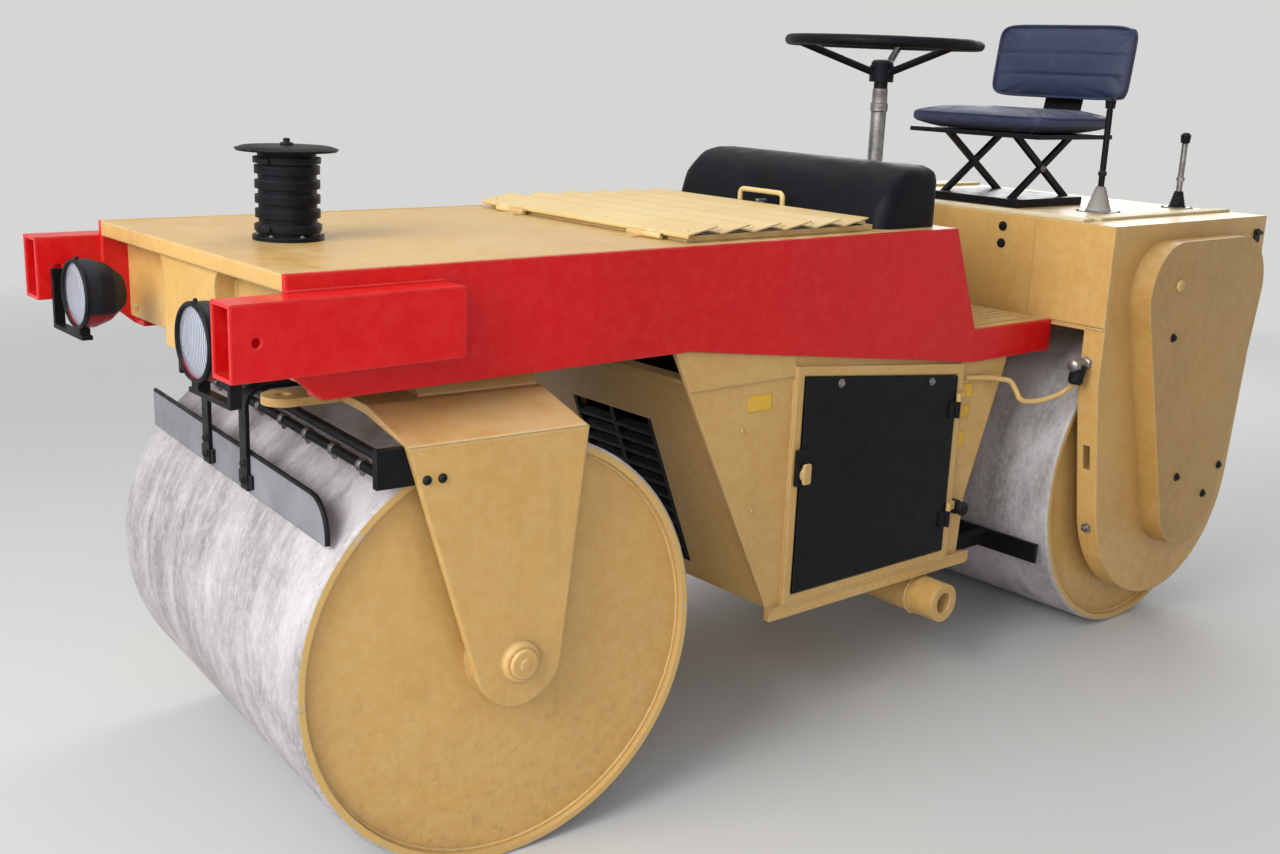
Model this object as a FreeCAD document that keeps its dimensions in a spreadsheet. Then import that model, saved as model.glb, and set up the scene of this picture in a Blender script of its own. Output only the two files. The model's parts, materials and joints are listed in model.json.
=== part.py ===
import FreeCAD, Part
import Sketcher
import math
import os
import re
from FreeCAD import Placement, Rotation, Vector

# Road roller: +X is forward, +Y is the machine's left, +Z is up. The origin lies on the floor
# under the middle of the machine's length and width. Millimetres and degrees.

# Driving sizes. "ahead" and "back" count from the front drum's axis, "out" from the centre plane,
# and "high" or "low" from the floor.
SIZES = [
    ("front_overhang", 540),
    ("wheelbase", 2000),
    ("tail_back", 2380),
    ("steer_rest", 5),
    ("running_gap", 0.3),
    ("moving_gap", 5),

    ("drum_radius", 400),
    ("drum_width", 940),
    ("drum_shell", 18),
    ("drum_recess", 16),
    ("drum_disc", 12),
    ("rim_chamfer", 5),
    ("drum_hub", 80),
    ("drum_hub_proud", 6),
    ("drum_core", 45),
    ("shaft_radius", 30),

    ("fork_out", 507),
    ("fork_plate", 16),
    ("fork_front", 215),
    ("fork_rear", 131),
    ("fork_end", 85),
    ("fork_over_drum", 12),
    ("bridge_rise", 38),
    ("bridge_plate", 15),
    ("bridge_flat", 350),
    ("bridge_box_front", 108),
    ("bridge_box_out", 330),
    ("bridge_box_height", 22),
    ("cap_radius", 38),
    ("cap_height", 13),

    ("kingpin_radius", 60),
    ("kingpin_flange", 95),
    ("kingpin_flange_thick", 8),
    ("housing_wall", 28),
    ("housing_flange", 95),
    ("housing_flange_thick", 15),
    ("cross_plate", 12),

    ("blade_gap", 11.2),
    ("blade_thick", 8),
    ("blade_drop", 152),
    ("blade_height", 74),
    ("blade_out", 445),
    ("blade_show", 6),
    ("blade_corner", 60),
    ("scraper_arm_out", 100),
    ("scraper_arm_width", 32),
    ("scraper_arm_thick", 8),
    ("scraper_bend", 34),
    ("pipe_radius", 9),
    ("pipe_ahead", 246),
    ("pipe_drop", 37),
    ("pipe_pitch", 30),
    ("pipe_lug", 14),
    ("pipe_lug_reach", 55),
    ("fork_lug_out", 212),
    ("fork_lug_reach", 92),
    ("fork_lug_radius", 38),
    ("fork_lug_hole", 13),
    ("fillet_spare", 2),

    ("steer_arm_length", 132),
    ("steer_arm_angle", 225),
    ("steer_arm_thick", 16),
    ("steer_arm_width", 60),
    ("cylinder_pivot_back", 410),
    ("rod_inside", 100),
    ("gland_length", 15),
    ("barrel_wall", 6),
    ("barrel_radius", 22),
    ("barrel_length", 194),
    ("rod_radius", 11),
    ("eye_radius", 24),
    ("eye_bore", 12),
    ("eye_height", 26),
    ("eye_overlap", 4),
    ("pin_head", 4),
    ("bracket_plate", 10),
    ("bracket_half", 40),
    ("bracket_ear", 10),
    ("bracket_gap", 2),
    ("member_inset", 6),

    ("beam_out", 390),
    ("beam_plate", 12),
    ("beam_ahead", 418),
    ("beam_depth", 205),
    ("beam_over_box", 13),
    ("beam_nose_rise", 50),
    ("beam_nose", 60),
    ("beam_taper_back", 432),
    ("beam_top_back", 1238),
    ("beam_step_back", 1338),
    ("beam_tail_drop", 38),
    ("beam_tail_depth", 77),
    ("beam_flange", 40),

    ("tube_width", 65),
    ("tube_height", 119),
    ("tube_drop", 28),
    ("tube_wall", 6),
    ("tube_rear_ahead", 128),
    ("tube_hole_back", 41),
    ("tube_hole_radius", 8),

    ("deck_plate", 8),
    ("deck_lip", 28),
    ("deck_overlap", 50),
    ("deck_rear_back", 440),
    ("panel_plate", 8),
    ("tow_box_depth", 40),
    ("tow_box_out", 108),
    ("tow_box_height", 189),
    ("tow_pin_radius", 26),
    ("tow_pin_drop", 12),
    ("tow_gusset", 10),
    ("tow_spread", 60),

    ("lamp_radius", 64),
    ("lamp_depth", 84),
    ("lamp_out", 262),
    ("lamp_rise", 87),
    ("lamp_ahead", 430),
    ("lamp_rim", 6),
    ("lamp_strap", 8),
    ("lamp_strap_width", 20),
    ("lamp_post", 12),
    ("lens_dome", 4),

    ("intake_ahead", 215),
    ("intake_radius", 58),
    ("intake_height", 158),
    ("intake_cap_radius", 92),
    ("intake_cap_thick", 8),
    ("intake_base", 8),
    ("intake_margin", 14),
    ("cap_slope", 12),
    ("cap_edge", 3),
    ("intake_ribs", 5),
    ("rib_depth", 6),
    ("rib_share", 0.55),

    ("cover_front_back", 446),
    ("cover_length", 560),
    ("cover_out", 353),
    ("cover_height", 31),
    ("cover_sheet", 5),
    ("slat_count", 6),
    ("slat_rise", 14),
    ("slat_share", 0.72),
    ("slat_lap", 18),
    ("cover_tail", 24),
    ("cover_rail", 20),
    ("cover_lap", 30),
    ("lid_knuckle", 6),
    ("lid_leaf", 28),
    ("lid_leaf_thick", 3),
    ("lid_hinge_out", 230),
    ("lid_hinge_width", 50),
    ("handle_half", 70),
    ("handle_rise", 38),
    ("handle_radius", 6),

    ("engine_rear_gap", 38),
    ("engine_front_gap", 67),
    ("engine_half", 225),
    ("engine_headroom", 82),
    ("engine_sump_depth", 139),
    ("engine_sump", 120),

    ("bay_out", 378),
    ("bay_plate", 8),
    ("bay_lap", 55),
    ("bay_low", 283),
    ("bay_front_top_back", 374),
    ("bay_front_low_back", 705),
    ("bay_rear_low_back", 1365),
    ("bay_rear_mid_back", 1375),
    ("bay_rear_low_rise", 147),
    ("bay_rear_top_back", 1492),
    ("bay_rear_wall", 83),
    ("wall_drop", 75),
    ("wall_top_back", 509),
    ("wall_low_back", 715),
    ("wall_flange", 34),
    ("grille_out", 138),
    ("grille_rise", 42),
    ("grille_drop", 130),
    ("grille_bars", 11),
    ("grille_share", 0.3),
    ("grille_lean", 14),
    ("grille_rail", 12),
    ("band_drop", 85),
    ("band_proud", 4),
    ("frame_proud", 10),
    ("frame_width", 22),
    ("sill_drop", 25),
    ("sill_tail", 38),
    ("door_front_back", 770),
    ("door_rear_back", 1290),
    ("door_sill", 29),
    ("door_front_drop", 89),
    ("door_slope", 54),
    ("door_thick", 12),
    ("door_gap", 4),
    ("door_seat", 1),
    ("hinge_set", 2),
    ("door_lap", 14),
    ("latch_half", 20),
    ("latch_rise", 288),
    ("latch_thick", 6),
    ("hinge_radius", 6),
    ("hinge_height", 40),
    ("hinge_leaf", 24),
    ("hinge_inset", 60),

    ("cross_tube_back", 1236),
    ("cross_tube_drop", 78),
    ("cross_tube_radius", 47),
    ("cross_tube_bore", 25),
    ("cross_tube_out", 452),
    ("saddle_out", 190),
    ("saddle_width", 40),
    ("saddle_half", 34),

    ("console_front_back", 1024),
    ("console_rear_back", 1228),
    ("console_rake", 26),
    ("console_slope", 88),
    ("console_nose", 88),
    ("console_out", 345),
    ("console_height", 136),

    ("column_back", 1390),
    ("column_radius", 17),
    ("wheel_radius", 230),
    ("wheel_rim", 13),
    ("wheel_rise", 406),
    ("wheel_dish", 74),
    ("wheel_hub", 30),
    ("hub_height", 40),
    ("spoke_radius", 9),
    ("column_foot", 45),
    ("column_step", 10),
    ("column_sleeve", 120),

    ("footplate_thick", 8),

    ("case_front_back", 1650),
    ("case_inner", 484),
    ("case_thick", 56),
    ("case_step", 2),
    ("case_round", 322),
    ("case_round_back", 2030),
    ("case_round_rise", 20),
    ("case_shoulder", 402),
    ("case_slot_rise", 80),
    ("case_slot_height", 64),
    ("case_slot_inset", 16),
    ("case_slot_width", 20),
    ("case_slot_depth", 80),
    ("cover_plate", 58),
    ("cover_round", 140),
    ("cover_round_back", 2055),
    ("cover_round_drop", 22),
    ("cover_front_top_back", 1694),
    ("cover_rear_top_back", 2318),
    ("cover_top_drop", 40),
    ("cover_corner", 130),

    ("platform_plate", 8),
    ("platform_over_drum", 35),
    ("corner_plate_out", 318),
    ("corner_plate", 4),
    ("tread_height", 7),
    ("tread_out", 440),
    ("tread_depth", 48),
    ("tread_width", 45),
    ("tread_margin", 12),
    ("tread_break", 30),

    ("seat_back_from_axis", 1945),
    ("seat_width", 440),
    ("seat_depth", 360),
    ("seat_rise", 193),
    ("seat_thick", 62),
    ("seat_back_gap", 25),
    ("seat_back_height", 200),
    ("seat_back_thick", 68),
    ("seat_back_set", 58),
    ("seat_lean", 27),
    ("seat_plate", 22),
    ("seat_pan", 12),
    ("scissor_half", 150),
    ("scissor_out", 105),
    ("scissor_bar", 12),
    ("scissor_width", 30),
    ("pan_inset", 10),
    ("seat_strap", 6),
    ("seat_strap_half", 60),
    ("seat_strap_rise", 140),
    ("seat_strap_lap", 12),
    ("seat_strap_run", 40),

    ("lever_back", 1960),
    ("lever_out", 290),
    ("lever_rise", 293),
    ("lever_boot", 60),
    ("rear_lever_back", 2320),
    ("rear_lever_out", 310),
    ("rear_lever_rise", 205),
    ("rear_lever_boot", 40),
    ("boot_foot", 6),
    ("lever_radius", 7),

    ("rear_blade_gap", 15.5),
    ("rear_bar", 30),
    ("rear_bar_out", 285),
    ("rear_blade_height", 50),
    ("rear_blade_out", 455),
]
SIZE_NAMES = {name for name, value in SIZES}

# Places worked out from the driving sizes, spelled out in expressions wherever they are named.
PLACES = {
    "nose": "(front_overhang + wheelbase + drum_radius) / 2",
    "front_axis": "nose - front_overhang",
    "rear_axis": "front_axis - wheelbase",
    "tail": "front_axis - tail_back",
    "drum_top": "2 * drum_radius",
    "fork_high": "drum_top + fork_over_drum",
    "bridge_high": "fork_high + bridge_rise",
    "drum_half": "drum_width / 2",
    "disc_face": "drum_half - drum_recess",
    "hub_face": "drum_half + drum_hub_proud",
    "box_high": "bridge_high + bridge_box_height",
    "kingpin_low": "box_high",
    "kingpin_seat": "kingpin_low + kingpin_flange_thick",
    "housing_low": "kingpin_seat + moving_gap",
    "beam_low": "box_high + beam_over_box",
    "beam_high": "beam_low + beam_depth",
    "beam_nose_low": "beam_low + beam_nose_rise",
    "beam_tail_high": "beam_low - beam_tail_drop",
    "beam_tail_low": "beam_tail_high - beam_tail_depth",
    "deck_low": "beam_high - deck_plate",
    "beam_inner": "beam_out - beam_plate",
    "arm_top": "box_high + steer_arm_thick",
    "eye_low": "arm_top + moving_gap / 5",
    "eye_mid": "eye_low + eye_height / 2",
    "cross_low": "eye_low + eye_height + 2 * moving_gap",
    "pin_x": "front_axis + steer_arm_length * cos((steer_arm_angle - steer_rest) * 1 deg)",
    "pin_y": "steer_arm_length * sin((steer_arm_angle - steer_rest) * 1 deg)",
    "pivot_x": "front_axis - cylinder_pivot_back",
    "bracket_face": "pivot_x - eye_radius - moving_gap",
    "lug_end": "front_axis + steer_arm_length + steer_arm_width / 2",
    "lip_face": "front_axis + beam_ahead",
    "deck_rear": "front_axis - deck_rear_back",
    "fork_inner": "fork_out - fork_plate",
    "tube_low": "beam_high - tube_drop - tube_height",
    "tube_middle": "tube_low + tube_height / 2",
    "tow_box_low": "deck_low - tow_box_height",
    "blade_low": "drum_top - blade_drop",
    "blade_face": "front_axis + sqrt(drum_radius ^ 2 - (blade_low - drum_radius) ^ 2) + blade_gap",
    "pipe_high": "drum_top - pipe_drop",
    "lug_low": "bridge_high - bridge_plate",
    "lug_eye": "front_axis + fork_front + fork_lug_reach",
    "lamp_high": "beam_low + lamp_rise",
    "lamp_foot": "lamp_high - lamp_radius",
    "cover_high": "beam_high + cover_height",
    "engine_rear": "footwell_face + engine_rear_gap",
    "engine_front": "wall_low - bay_plate - engine_front_gap",
    "engine_high": "deck_low - engine_headroom",
    "engine_step": "bay_low + bay_plate + engine_sump_depth",
    "bay_top": "beam_low + bay_lap",
    "bay_rear_mid_high": "bay_low + bay_rear_low_rise",
    "bay_rear_top_high": "footplate_low - bay_rear_wall",
    "wall_high": "beam_low - wall_drop",
    "beam_slope": "(beam_low - beam_tail_low) / (beam_step_back - beam_taper_back)",
    "wall_slope": "(wall_top - wall_low) / (wall_high - bay_plate - bay_low)",
    "bay_slope": "(bay_front_low_back - bay_front_top_back) / (bay_top - bay_low)",
    "grille_low": "bay_low + grille_rise",
    "grille_high": "wall_high - grille_drop",
    "door_low": "bay_low + door_sill",
    "sill_low": "bay_low - sill_drop",
    "sill_high": "door_low - door_gap - frame_width",
    "sill_rear": "front_axis - bay_rear_low_back - sill_tail",
    "door_front_high": "beam_low - door_front_drop",
    "door_rear_high": "door_front_high - door_slope",
    "latch_high": "door_low + latch_rise",
    "bay_inner": "bay_out - bay_plate",
    "wall_top": "front_axis - wall_top_back",
    "wall_low": "front_axis - wall_low_back",
    "door_rear": "front_axis - door_rear_back",
    "door_inner": "bay_out + door_seat",
    "door_face": "door_inner + door_thick",
    "hinge_x": "door_rear - hinge_set",
    "hinge_y": "door_face + hinge_radius",
    "tube_axis": "front_axis - cross_tube_back",
    "footwell_face": "front_axis - console_rear_back",
    "cross_tube_high": "bay_low - cross_tube_drop",
    "console_high": "beam_high + console_height",
    "footplate_high": "beam_tail_high",
    "footplate_low": "footplate_high - footplate_thick",
    "wheel_high": "beam_high + wheel_rise",
    "wheel_x": "front_axis - column_back",
    "hub_low": "wheel_high - wheel_dish - hub_height / 2",
    "case_high": "beam_high + case_step",
    "case_taper_high": "case_high - case_shoulder",
    "case_round_high": "drum_radius + case_round_rise",
    "cover_round_high": "drum_radius - cover_round_drop",
    "cover_top_high": "case_high - cover_top_drop",
    "platform_low": "drum_top + platform_over_drum",
    "seat_low": "case_high + seat_rise",
    "seat_back_low": "seat_low + seat_thick + seat_back_gap",
    "seat_back_high": "seat_back_low + seat_back_height",
    "seat_x": "front_axis - seat_back_from_axis",
    "seat_rear": "seat_x - seat_depth / 2",
    "pan_low": "seat_low - seat_pan",
    "cover_hinge": "front_axis - cover_front_back",
    "cover_rear": "cover_hinge - cover_length",
    "case_front": "front_axis - case_front_back",
    "case_out": "case_inner + case_thick",
    "panel_face": "front_axis + beam_ahead - deck_overlap",
    "rear_blade_face": "rear_axis + sqrt(drum_radius ^ 2 - (drum_radius - bay_low) ^ 2) + rear_blade_gap",
    "lid_axis_x": "cover_hinge + lid_knuckle",
    "lid_axis_high": "beam_high + running_gap + lid_knuckle",
}

# Each moving group's nodes that turn with the fork.
STEERED = []

doc = FreeCAD.newDocument("road_roller")
sheet = doc.addObject("Spreadsheet::Sheet", "sizes")
for row, (name, number) in enumerate(SIZES, 1):
    sheet.set(f"A{row}", name)
    sheet.set(f"B{row}", str(number))
    sheet.setAlias(f"B{row}", name)
doc.recompute()


def bound(text):
    """Spell out an expression: places by their formula, sizes by their cell."""
    def spell(match):
        word = match.group()
        if word in PLACES:
            return "(" + bound(PLACES[word]) + ")"
        return "sizes." + word if word in SIZE_NAMES else word
    return re.sub(r"[a-z_]+", spell, str(text))


def value(text):
    """The number that an expression gives with the sheet as it is."""
    result = ruler.evalExpression(bound(text))
    return float(getattr(result, "Value", result))


ruler = doc.addObject("App::FeaturePython", "ruler")
doc.recompute()

PLANES = {"x": "YZ_Plane", "y": "XZ_Plane", "z": "XY_Plane"}


def new_body(name):
    body = doc.addObject("PartDesign::Body", name)
    body.Label = name
    return body


def new_sketch(body, axis, offset):
    """A sketch on the body's own plane across the axis, moved by three expressions."""
    sketch = body.newObject("Sketcher::SketchObject", "sketch_" + body.Name)
    plane = [item for item in body.Origin.OriginFeatures if item.Role == PLANES[axis]][0]
    sketch.AttachmentSupport = [(plane, "")]
    sketch.MapMode = "FlatFace"
    for letter, text in zip("xyz", offset):
        sketch.setExpression(f"AttachmentOffset.Base.{letter}", bound(text))
    return sketch


def hold(sketch, kind, geometry, position, text):
    """A distance from the sketch's origin, bound to the sheet."""
    index = sketch.addConstraint(
        Sketcher.Constraint(kind, -1, 1, geometry, position, value(text)))
    sketch.setExpression(f"Constraints[{index}]", bound(text))


def draw_outline(sketch, points):
    """A closed outline of straight edges through bound points."""
    places = [Vector(value(point[0]), value(point[1]), 0) for point in points]
    first = sketch.GeometryCount
    for index, place in enumerate(places):
        sketch.addGeometry(Part.LineSegment(place, places[(index + 1) % len(places)]))
    for index, point in enumerate(points):
        before = first + (index - 1) % len(points)
        sketch.addConstraint(Sketcher.Constraint("Coincident", before, 2, first + index, 1))
        hold(sketch, "DistanceX", first + index, 1, point[0])
        hold(sketch, "DistanceY", first + index, 1, point[1])


def draw_circle(sketch, across, up, radius):
    """A circle whose centre and radius are bound."""
    centre = Vector(value(across), value(up), 0)
    index = sketch.addGeometry(Part.Circle(centre, Vector(0, 0, 1), value(radius)))
    hold(sketch, "DistanceX", index, 3, across)
    hold(sketch, "DistanceY", index, 3, up)
    size = sketch.addConstraint(Sketcher.Constraint("Radius", index, value(radius)))
    sketch.setExpression(f"Constraints[{size}]", bound(radius))


def draw_round_end(sketch, points, centre, radius):
    """An outline over the points, closed below by an arc that both end edges touch."""
    places = [Vector(value(point[0]), value(point[1]), 0) for point in points]
    middle = Vector(value(centre[0]), value(centre[1]), 0)
    reach = value(radius)

    def touch(place, side):
        away = place - middle
        turn = math.acos(reach / away.Length) * side
        heading = math.atan2(away.y, away.x) + turn
        return middle + Vector(math.cos(heading), math.sin(heading), 0) * reach

    left = touch(places[0], 1)
    right = touch(places[-1], -1)
    lines = [sketch.addGeometry(Part.LineSegment(left, places[0]))]
    for start, end in zip(places, places[1:]):
        lines.append(sketch.addGeometry(Part.LineSegment(start, end)))
    lines.append(sketch.addGeometry(Part.LineSegment(places[-1], right)))
    low = math.atan2(left.y - middle.y, left.x - middle.x)
    high = math.atan2(right.y - middle.y, right.x - middle.x)
    circle = Part.Circle(middle, Vector(0, 0, 1), reach)
    arc = sketch.addGeometry(Part.ArcOfCircle(circle, low % (2 * math.pi), high % (2 * math.pi)))
    for index, point in enumerate(points):
        sketch.addConstraint(Sketcher.Constraint("Coincident", lines[index], 2, lines[index + 1], 1))
        hold(sketch, "DistanceX", lines[index + 1], 1, point[0])
        hold(sketch, "DistanceY", lines[index + 1], 1, point[1])
    sketch.addConstraint(Sketcher.Constraint("Tangent", lines[0], 1, arc, 1))
    sketch.addConstraint(Sketcher.Constraint("Tangent", lines[-1], 2, arc, 2))
    hold(sketch, "DistanceX", arc, 3, centre[0])
    hold(sketch, "DistanceY", arc, 3, centre[1])
    size = sketch.addConstraint(Sketcher.Constraint("Radius", arc, reach))
    sketch.setExpression(f"Constraints[{size}]", bound(radius))


def draw(sketch, shapes):
    """Each shape is a list of points, a circle as a tuple, or a dict for a round-ended outline."""
    for shape in shapes:
        if isinstance(shape, dict):
            draw_round_end(sketch, shape["over"], shape["centre"], shape["radius"])
        elif isinstance(shape, tuple):
            draw_circle(sketch, *shape)
        else:
            draw_outline(sketch, shape)


def lifted(axis, low, length):
    """Where a sketch across the axis lies so that it runs from low to low plus length."""
    return f"-(({low}) + ({length}))" if axis == "y" else low


def pad(body, axis, low, length, shapes):
    """A pad across the axis, from low to low plus length."""
    sketch = new_sketch(body, axis, ("0", "0", lifted(axis, low, length)))
    draw(sketch, shapes)
    feature = body.newObject("PartDesign::Pad", "pad_" + body.Name)
    feature.Profile = sketch
    feature.setExpression("Length", bound(length))
    doc.recompute()
    return feature


def pocket(body, axis, low, length, shapes):
    """A cut across the axis, from low to low plus length."""
    before = body.Shape.Volume
    sketch = new_sketch(body, axis, ("0", "0", lifted(axis, low, length)))
    draw(sketch, shapes)
    feature = body.newObject("PartDesign::Pocket", "pocket_" + body.Name)
    feature.Profile = sketch
    feature.Type = "Length"
    feature.Reversed = True
    feature.setExpression("Length", bound(length))
    doc.recompute()
    if not body.Shape.Volume < before:
        raise ValueError("nothing was cut from " + body.Label)
    return feature


def revolve(body, axis, centre, profile):
    """A turned solid about the axis through centre, from a profile of (along, radius) points."""
    across, up, along = ((centre[1], centre[2], centre[0]) if axis == "y"
                         else (centre[0], centre[2], f"-({centre[1]})"))
    sketch = new_sketch(body, "x" if axis == "y" else "y", (across, up, along))
    points = [(radius, place) if axis == "z" else (place, radius) for place, radius in profile]
    draw_outline(sketch, points)
    feature = body.newObject("PartDesign::Revolution", "turned_" + body.Name)
    feature.Profile = sketch
    feature.ReferenceAxis = (sketch, ["V_Axis" if axis == "z" else "H_Axis"])
    feature.Angle = 360
    doc.recompute()
    return feature


def round_edges(body, radius, wanted, kind="PartDesign::Fillet"):
    """Round or chamfer the edges of the body's tip that the test picks."""
    tip = body.Tip
    names = [f"Edge{index}" for index, edge in enumerate(tip.Shape.Edges, 1) if wanted(edge)]
    if not names:
        raise ValueError("no edge to round on " + body.Label)
    feature = body.newObject(kind, "round_" + body.Name)
    feature.Base = (tip, names)
    feature.setExpression("Radius" if kind.endswith("Fillet") else "Size", bound(radius))
    doc.recompute()
    return feature


def upright(edge, axis, spots):
    """True for a straight edge along the axis that stands over one of the spots."""
    ends = [vertex.Point for vertex in edge.Vertexes]
    if len(ends) != 2:
        return False
    drop = {"x": (1, 2), "y": (0, 2), "z": (0, 1)}[axis]
    along = "xyz".index(axis)
    level = all(abs(ends[0][item] - ends[1][item]) < 0.01 for item in drop)
    if not level or abs(ends[0][along] - ends[1][along]) < 0.01:
        return False
    return any(abs(ends[0][drop[0]] - value(spot[0])) < 0.01
               and abs(ends[0][drop[1]] - value(spot[1])) < 0.01 for spot in spots)


def corners(axis, spots):
    """A test for the edges along the axis over the named spots."""
    return lambda edge: upright(edge, axis, spots)


def rectangle(left, right, low, high):
    return [(left, low), (right, low), (right, high), (left, high)]


def plain(name, axis, low, length, shapes):
    """A node made by one pad."""
    body = new_body(name)
    pad(body, axis, low, length, shapes)
    return body


def bent_strap(runs, radius, section):
    """A bar swept along straight runs joined by tangent arcs; radius is one bend radius."""
    places = [Vector(*[value(text) for text in run]) for run in runs]
    edges = []
    start = places[0]
    for before, corner, after in zip(places, places[1:], places[2:]):
        into = (corner - before).normalize()
        out = (after - corner).normalize()
        half = into.getAngle(out) / 2
        cut = value(radius) * math.tan(half)
        first = corner - into * cut
        last = corner + out * cut
        inward = (out - into).normalize()
        centre = corner + inward * (value(radius) / math.cos(half))
        middle = centre - inward * value(radius)
        edges.append(Part.LineSegment(start, first).toShape())
        edges.append(Part.Arc(first, middle, last).toShape())
        start = last
    edges.append(Part.LineSegment(start, places[-1]).toShape())
    path = Part.Wire(edges)
    heading = (places[1] - places[0]).normalize()
    return path.makePipeShell([section(places[0], heading)], True, False)


def ring_section(radius):
    """A round section across the path's first run."""
    def section(place, heading):
        return Part.Wire([Part.Circle(place, heading, value(radius)).toShape()])
    return section


def strap_section(width, thick):
    """A flat section, wide along Y and thin in the plane of the bend."""
    def section(place, heading):
        side = Vector(0, 1, 0) * (value(width) / 2)
        thin = heading.cross(Vector(0, 1, 0)) * (value(thick) / 2)
        rim = [place + side + thin, place - side + thin, place - side - thin, place + side - thin]
        return Part.makePolygon(rim + rim[:1])
    return section


def joined(name, pieces):
    """One node of several shapes that touch or stand apart."""
    node = doc.addObject("Part::Feature", name)
    node.Label = name
    node.Shape = pieces[0].multiFuse(pieces[1:]).removeSplitter() if pieces[1:] else pieces[0]
    return node


# Drums: a shell, and two end discs on one core with the stub shafts that run in the side plates.
# Each row: name, axis place, where the stub shafts end from the centre plane.
DRUMS = [
    ("front", "front_axis", "fork_out - moving_gap / 2"),
    ("rear", "rear_axis", "case_inner + case_thick / 2"),
]
for name, axis_place, shaft_end in DRUMS:
    centre = (axis_place, "0", "drum_radius")
    shell = new_body(name + "_drum_shell")
    bore = "drum_radius - drum_shell"
    revolve(shell, "y", centre, [
        ("-drum_half", bore),
        ("-drum_half", "drum_radius - rim_chamfer"),
        ("-drum_half + rim_chamfer", "drum_radius"),
        ("drum_half - rim_chamfer", "drum_radius"),
        ("drum_half", "drum_radius - rim_chamfer"),
        ("drum_half", bore),
    ])
    ends = new_body(name + "_drum_ends")
    half = [
        (shaft_end, "0"),
        (shaft_end, "shaft_radius"),
        ("hub_face", "shaft_radius"),
        ("hub_face", "drum_hub"),
        ("disc_face", "drum_hub"),
        ("disc_face", bore),
        ("disc_face - drum_disc", bore),
        ("disc_face - drum_disc", "drum_core"),
    ]
    revolve(ends, "y", centre, half + [(f"-({place})", radius) for place, radius in reversed(half)])
    if name == "front":
        STEERED += [shell, ends]

SIDES = [("left", 1), ("right", -1)]


def on_side(sign, inner, thick):
    """The low end, across the machine, of a plate from inner outwards on one side."""
    return inner if sign > 0 else f"-({inner}) - ({thick})"


def across(sign, inner, outer):
    """The low and high ends, across the machine, of what lies from inner to outer on one side."""
    return (inner, outer) if sign > 0 else (f"-({outer})", f"-({inner})")


def turn_about(spot, angle):
    """The placement that turns a node about the upright line through a spot."""
    return Placement(Vector(), Rotation(Vector(0, 0, 1), angle), spot)


# Steering fork: side plates that taper to the hub with their axle caps, the bridge over the drum
# and its raised box with the steering lug, which lies on the box and turns with it.
for side, sign in SIDES:
    inner = "fork_out - fork_plate"
    plate = new_body("fork_plate_" + side)
    pad(plate, "y", on_side(sign, inner, "fork_plate"), "fork_plate", [
        {"over": [("front_axis - fork_rear", "fork_high"), ("front_axis + fork_front", "fork_high")],
         "centre": ("front_axis", "drum_radius"), "radius": "fork_end"},
        ("front_axis", "drum_radius", "shaft_radius + running_gap"),
    ])
    ends = [("fork_out", "0"), ("fork_out", "cap_radius"),
            ("fork_out + cap_height - rim_chamfer", "cap_radius"),
            ("fork_out + cap_height", "cap_radius - rim_chamfer"), ("fork_out + cap_height", "0")]
    revolve(plate, "y", ("front_axis", "0", "drum_radius"),
            [(f"{sign} * ({place})", radius) for place, radius in ends])
    STEERED += [plate]

bridge = plain("fork_bridge", "x", "front_axis - fork_rear", "fork_rear + fork_front", [[
    ("-fork_out", "fork_high"), ("-bridge_flat", "bridge_high"),
    ("bridge_flat", "bridge_high"), ("fork_out", "fork_high"),
    ("fork_out - fork_plate", "fork_high"),
    ("bridge_flat - bridge_plate / 2", "bridge_high - bridge_plate"),
    ("-bridge_flat + bridge_plate / 2", "bridge_high - bridge_plate"),
    ("-fork_out + fork_plate", "fork_high"),
]])
box = plain("bridge_box", "x", "front_axis - fork_rear", "fork_rear + bridge_box_front", [[
    ("-bridge_box_out", "bridge_high"), ("-bridge_box_out + bridge_box_height", "box_high"),
    ("bridge_box_out - bridge_box_height", "box_high"), ("bridge_box_out", "bridge_high"),
]])
lug = plain("steering_lug", "z", "box_high", "steer_arm_thick", [rectangle(
    "front_axis + housing_flange + moving_gap", "lug_end",
    "-steer_arm_width / 2", "steer_arm_width / 2")])
round_edges(lug, "steer_arm_width / 2 - fillet_spare", corners("z", [
    ("lug_end", "-steer_arm_width / 2"), ("lug_end", "steer_arm_width / 2")]))
kingpin_spot = Vector(value("front_axis"), 0, 0)
lug.Placement = turn_about(kingpin_spot, value("steer_arm_angle"))
STEERED += [bridge, box, lug]

kingpin = new_body("kingpin")
revolve(kingpin, "z", ("front_axis", "0", "0"), [
    ("kingpin_low", "0"),
    ("kingpin_low", "kingpin_flange"),
    ("kingpin_seat", "kingpin_flange"),
    ("kingpin_seat", "kingpin_radius"),
    ("deck_low - moving_gap", "kingpin_radius"),
    ("deck_low - moving_gap", "0"),
])
STEERED += [kingpin]

housing = new_body("kingpin_housing")
revolve(housing, "z", ("front_axis", "0", "0"), [
    ("housing_low", "kingpin_radius + running_gap"),
    ("housing_low", "housing_flange"),
    ("housing_low + housing_flange_thick", "housing_flange"),
    ("housing_low + housing_flange_thick", "kingpin_radius + housing_wall"),
    ("deck_low", "kingpin_radius + housing_wall"),
    ("deck_low", "kingpin_radius + running_gap"),
])
cross_half = "cylinder_pivot_back - barrel_length - eye_radius"
plain("cross_member", "z", "cross_low", "cross_plate", [
    rectangle(f"front_axis - ({cross_half})", f"front_axis + {cross_half}",
              "-beam_inner", "beam_inner"),
    ("front_axis", "0", "kingpin_radius + housing_wall"),
])

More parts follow.
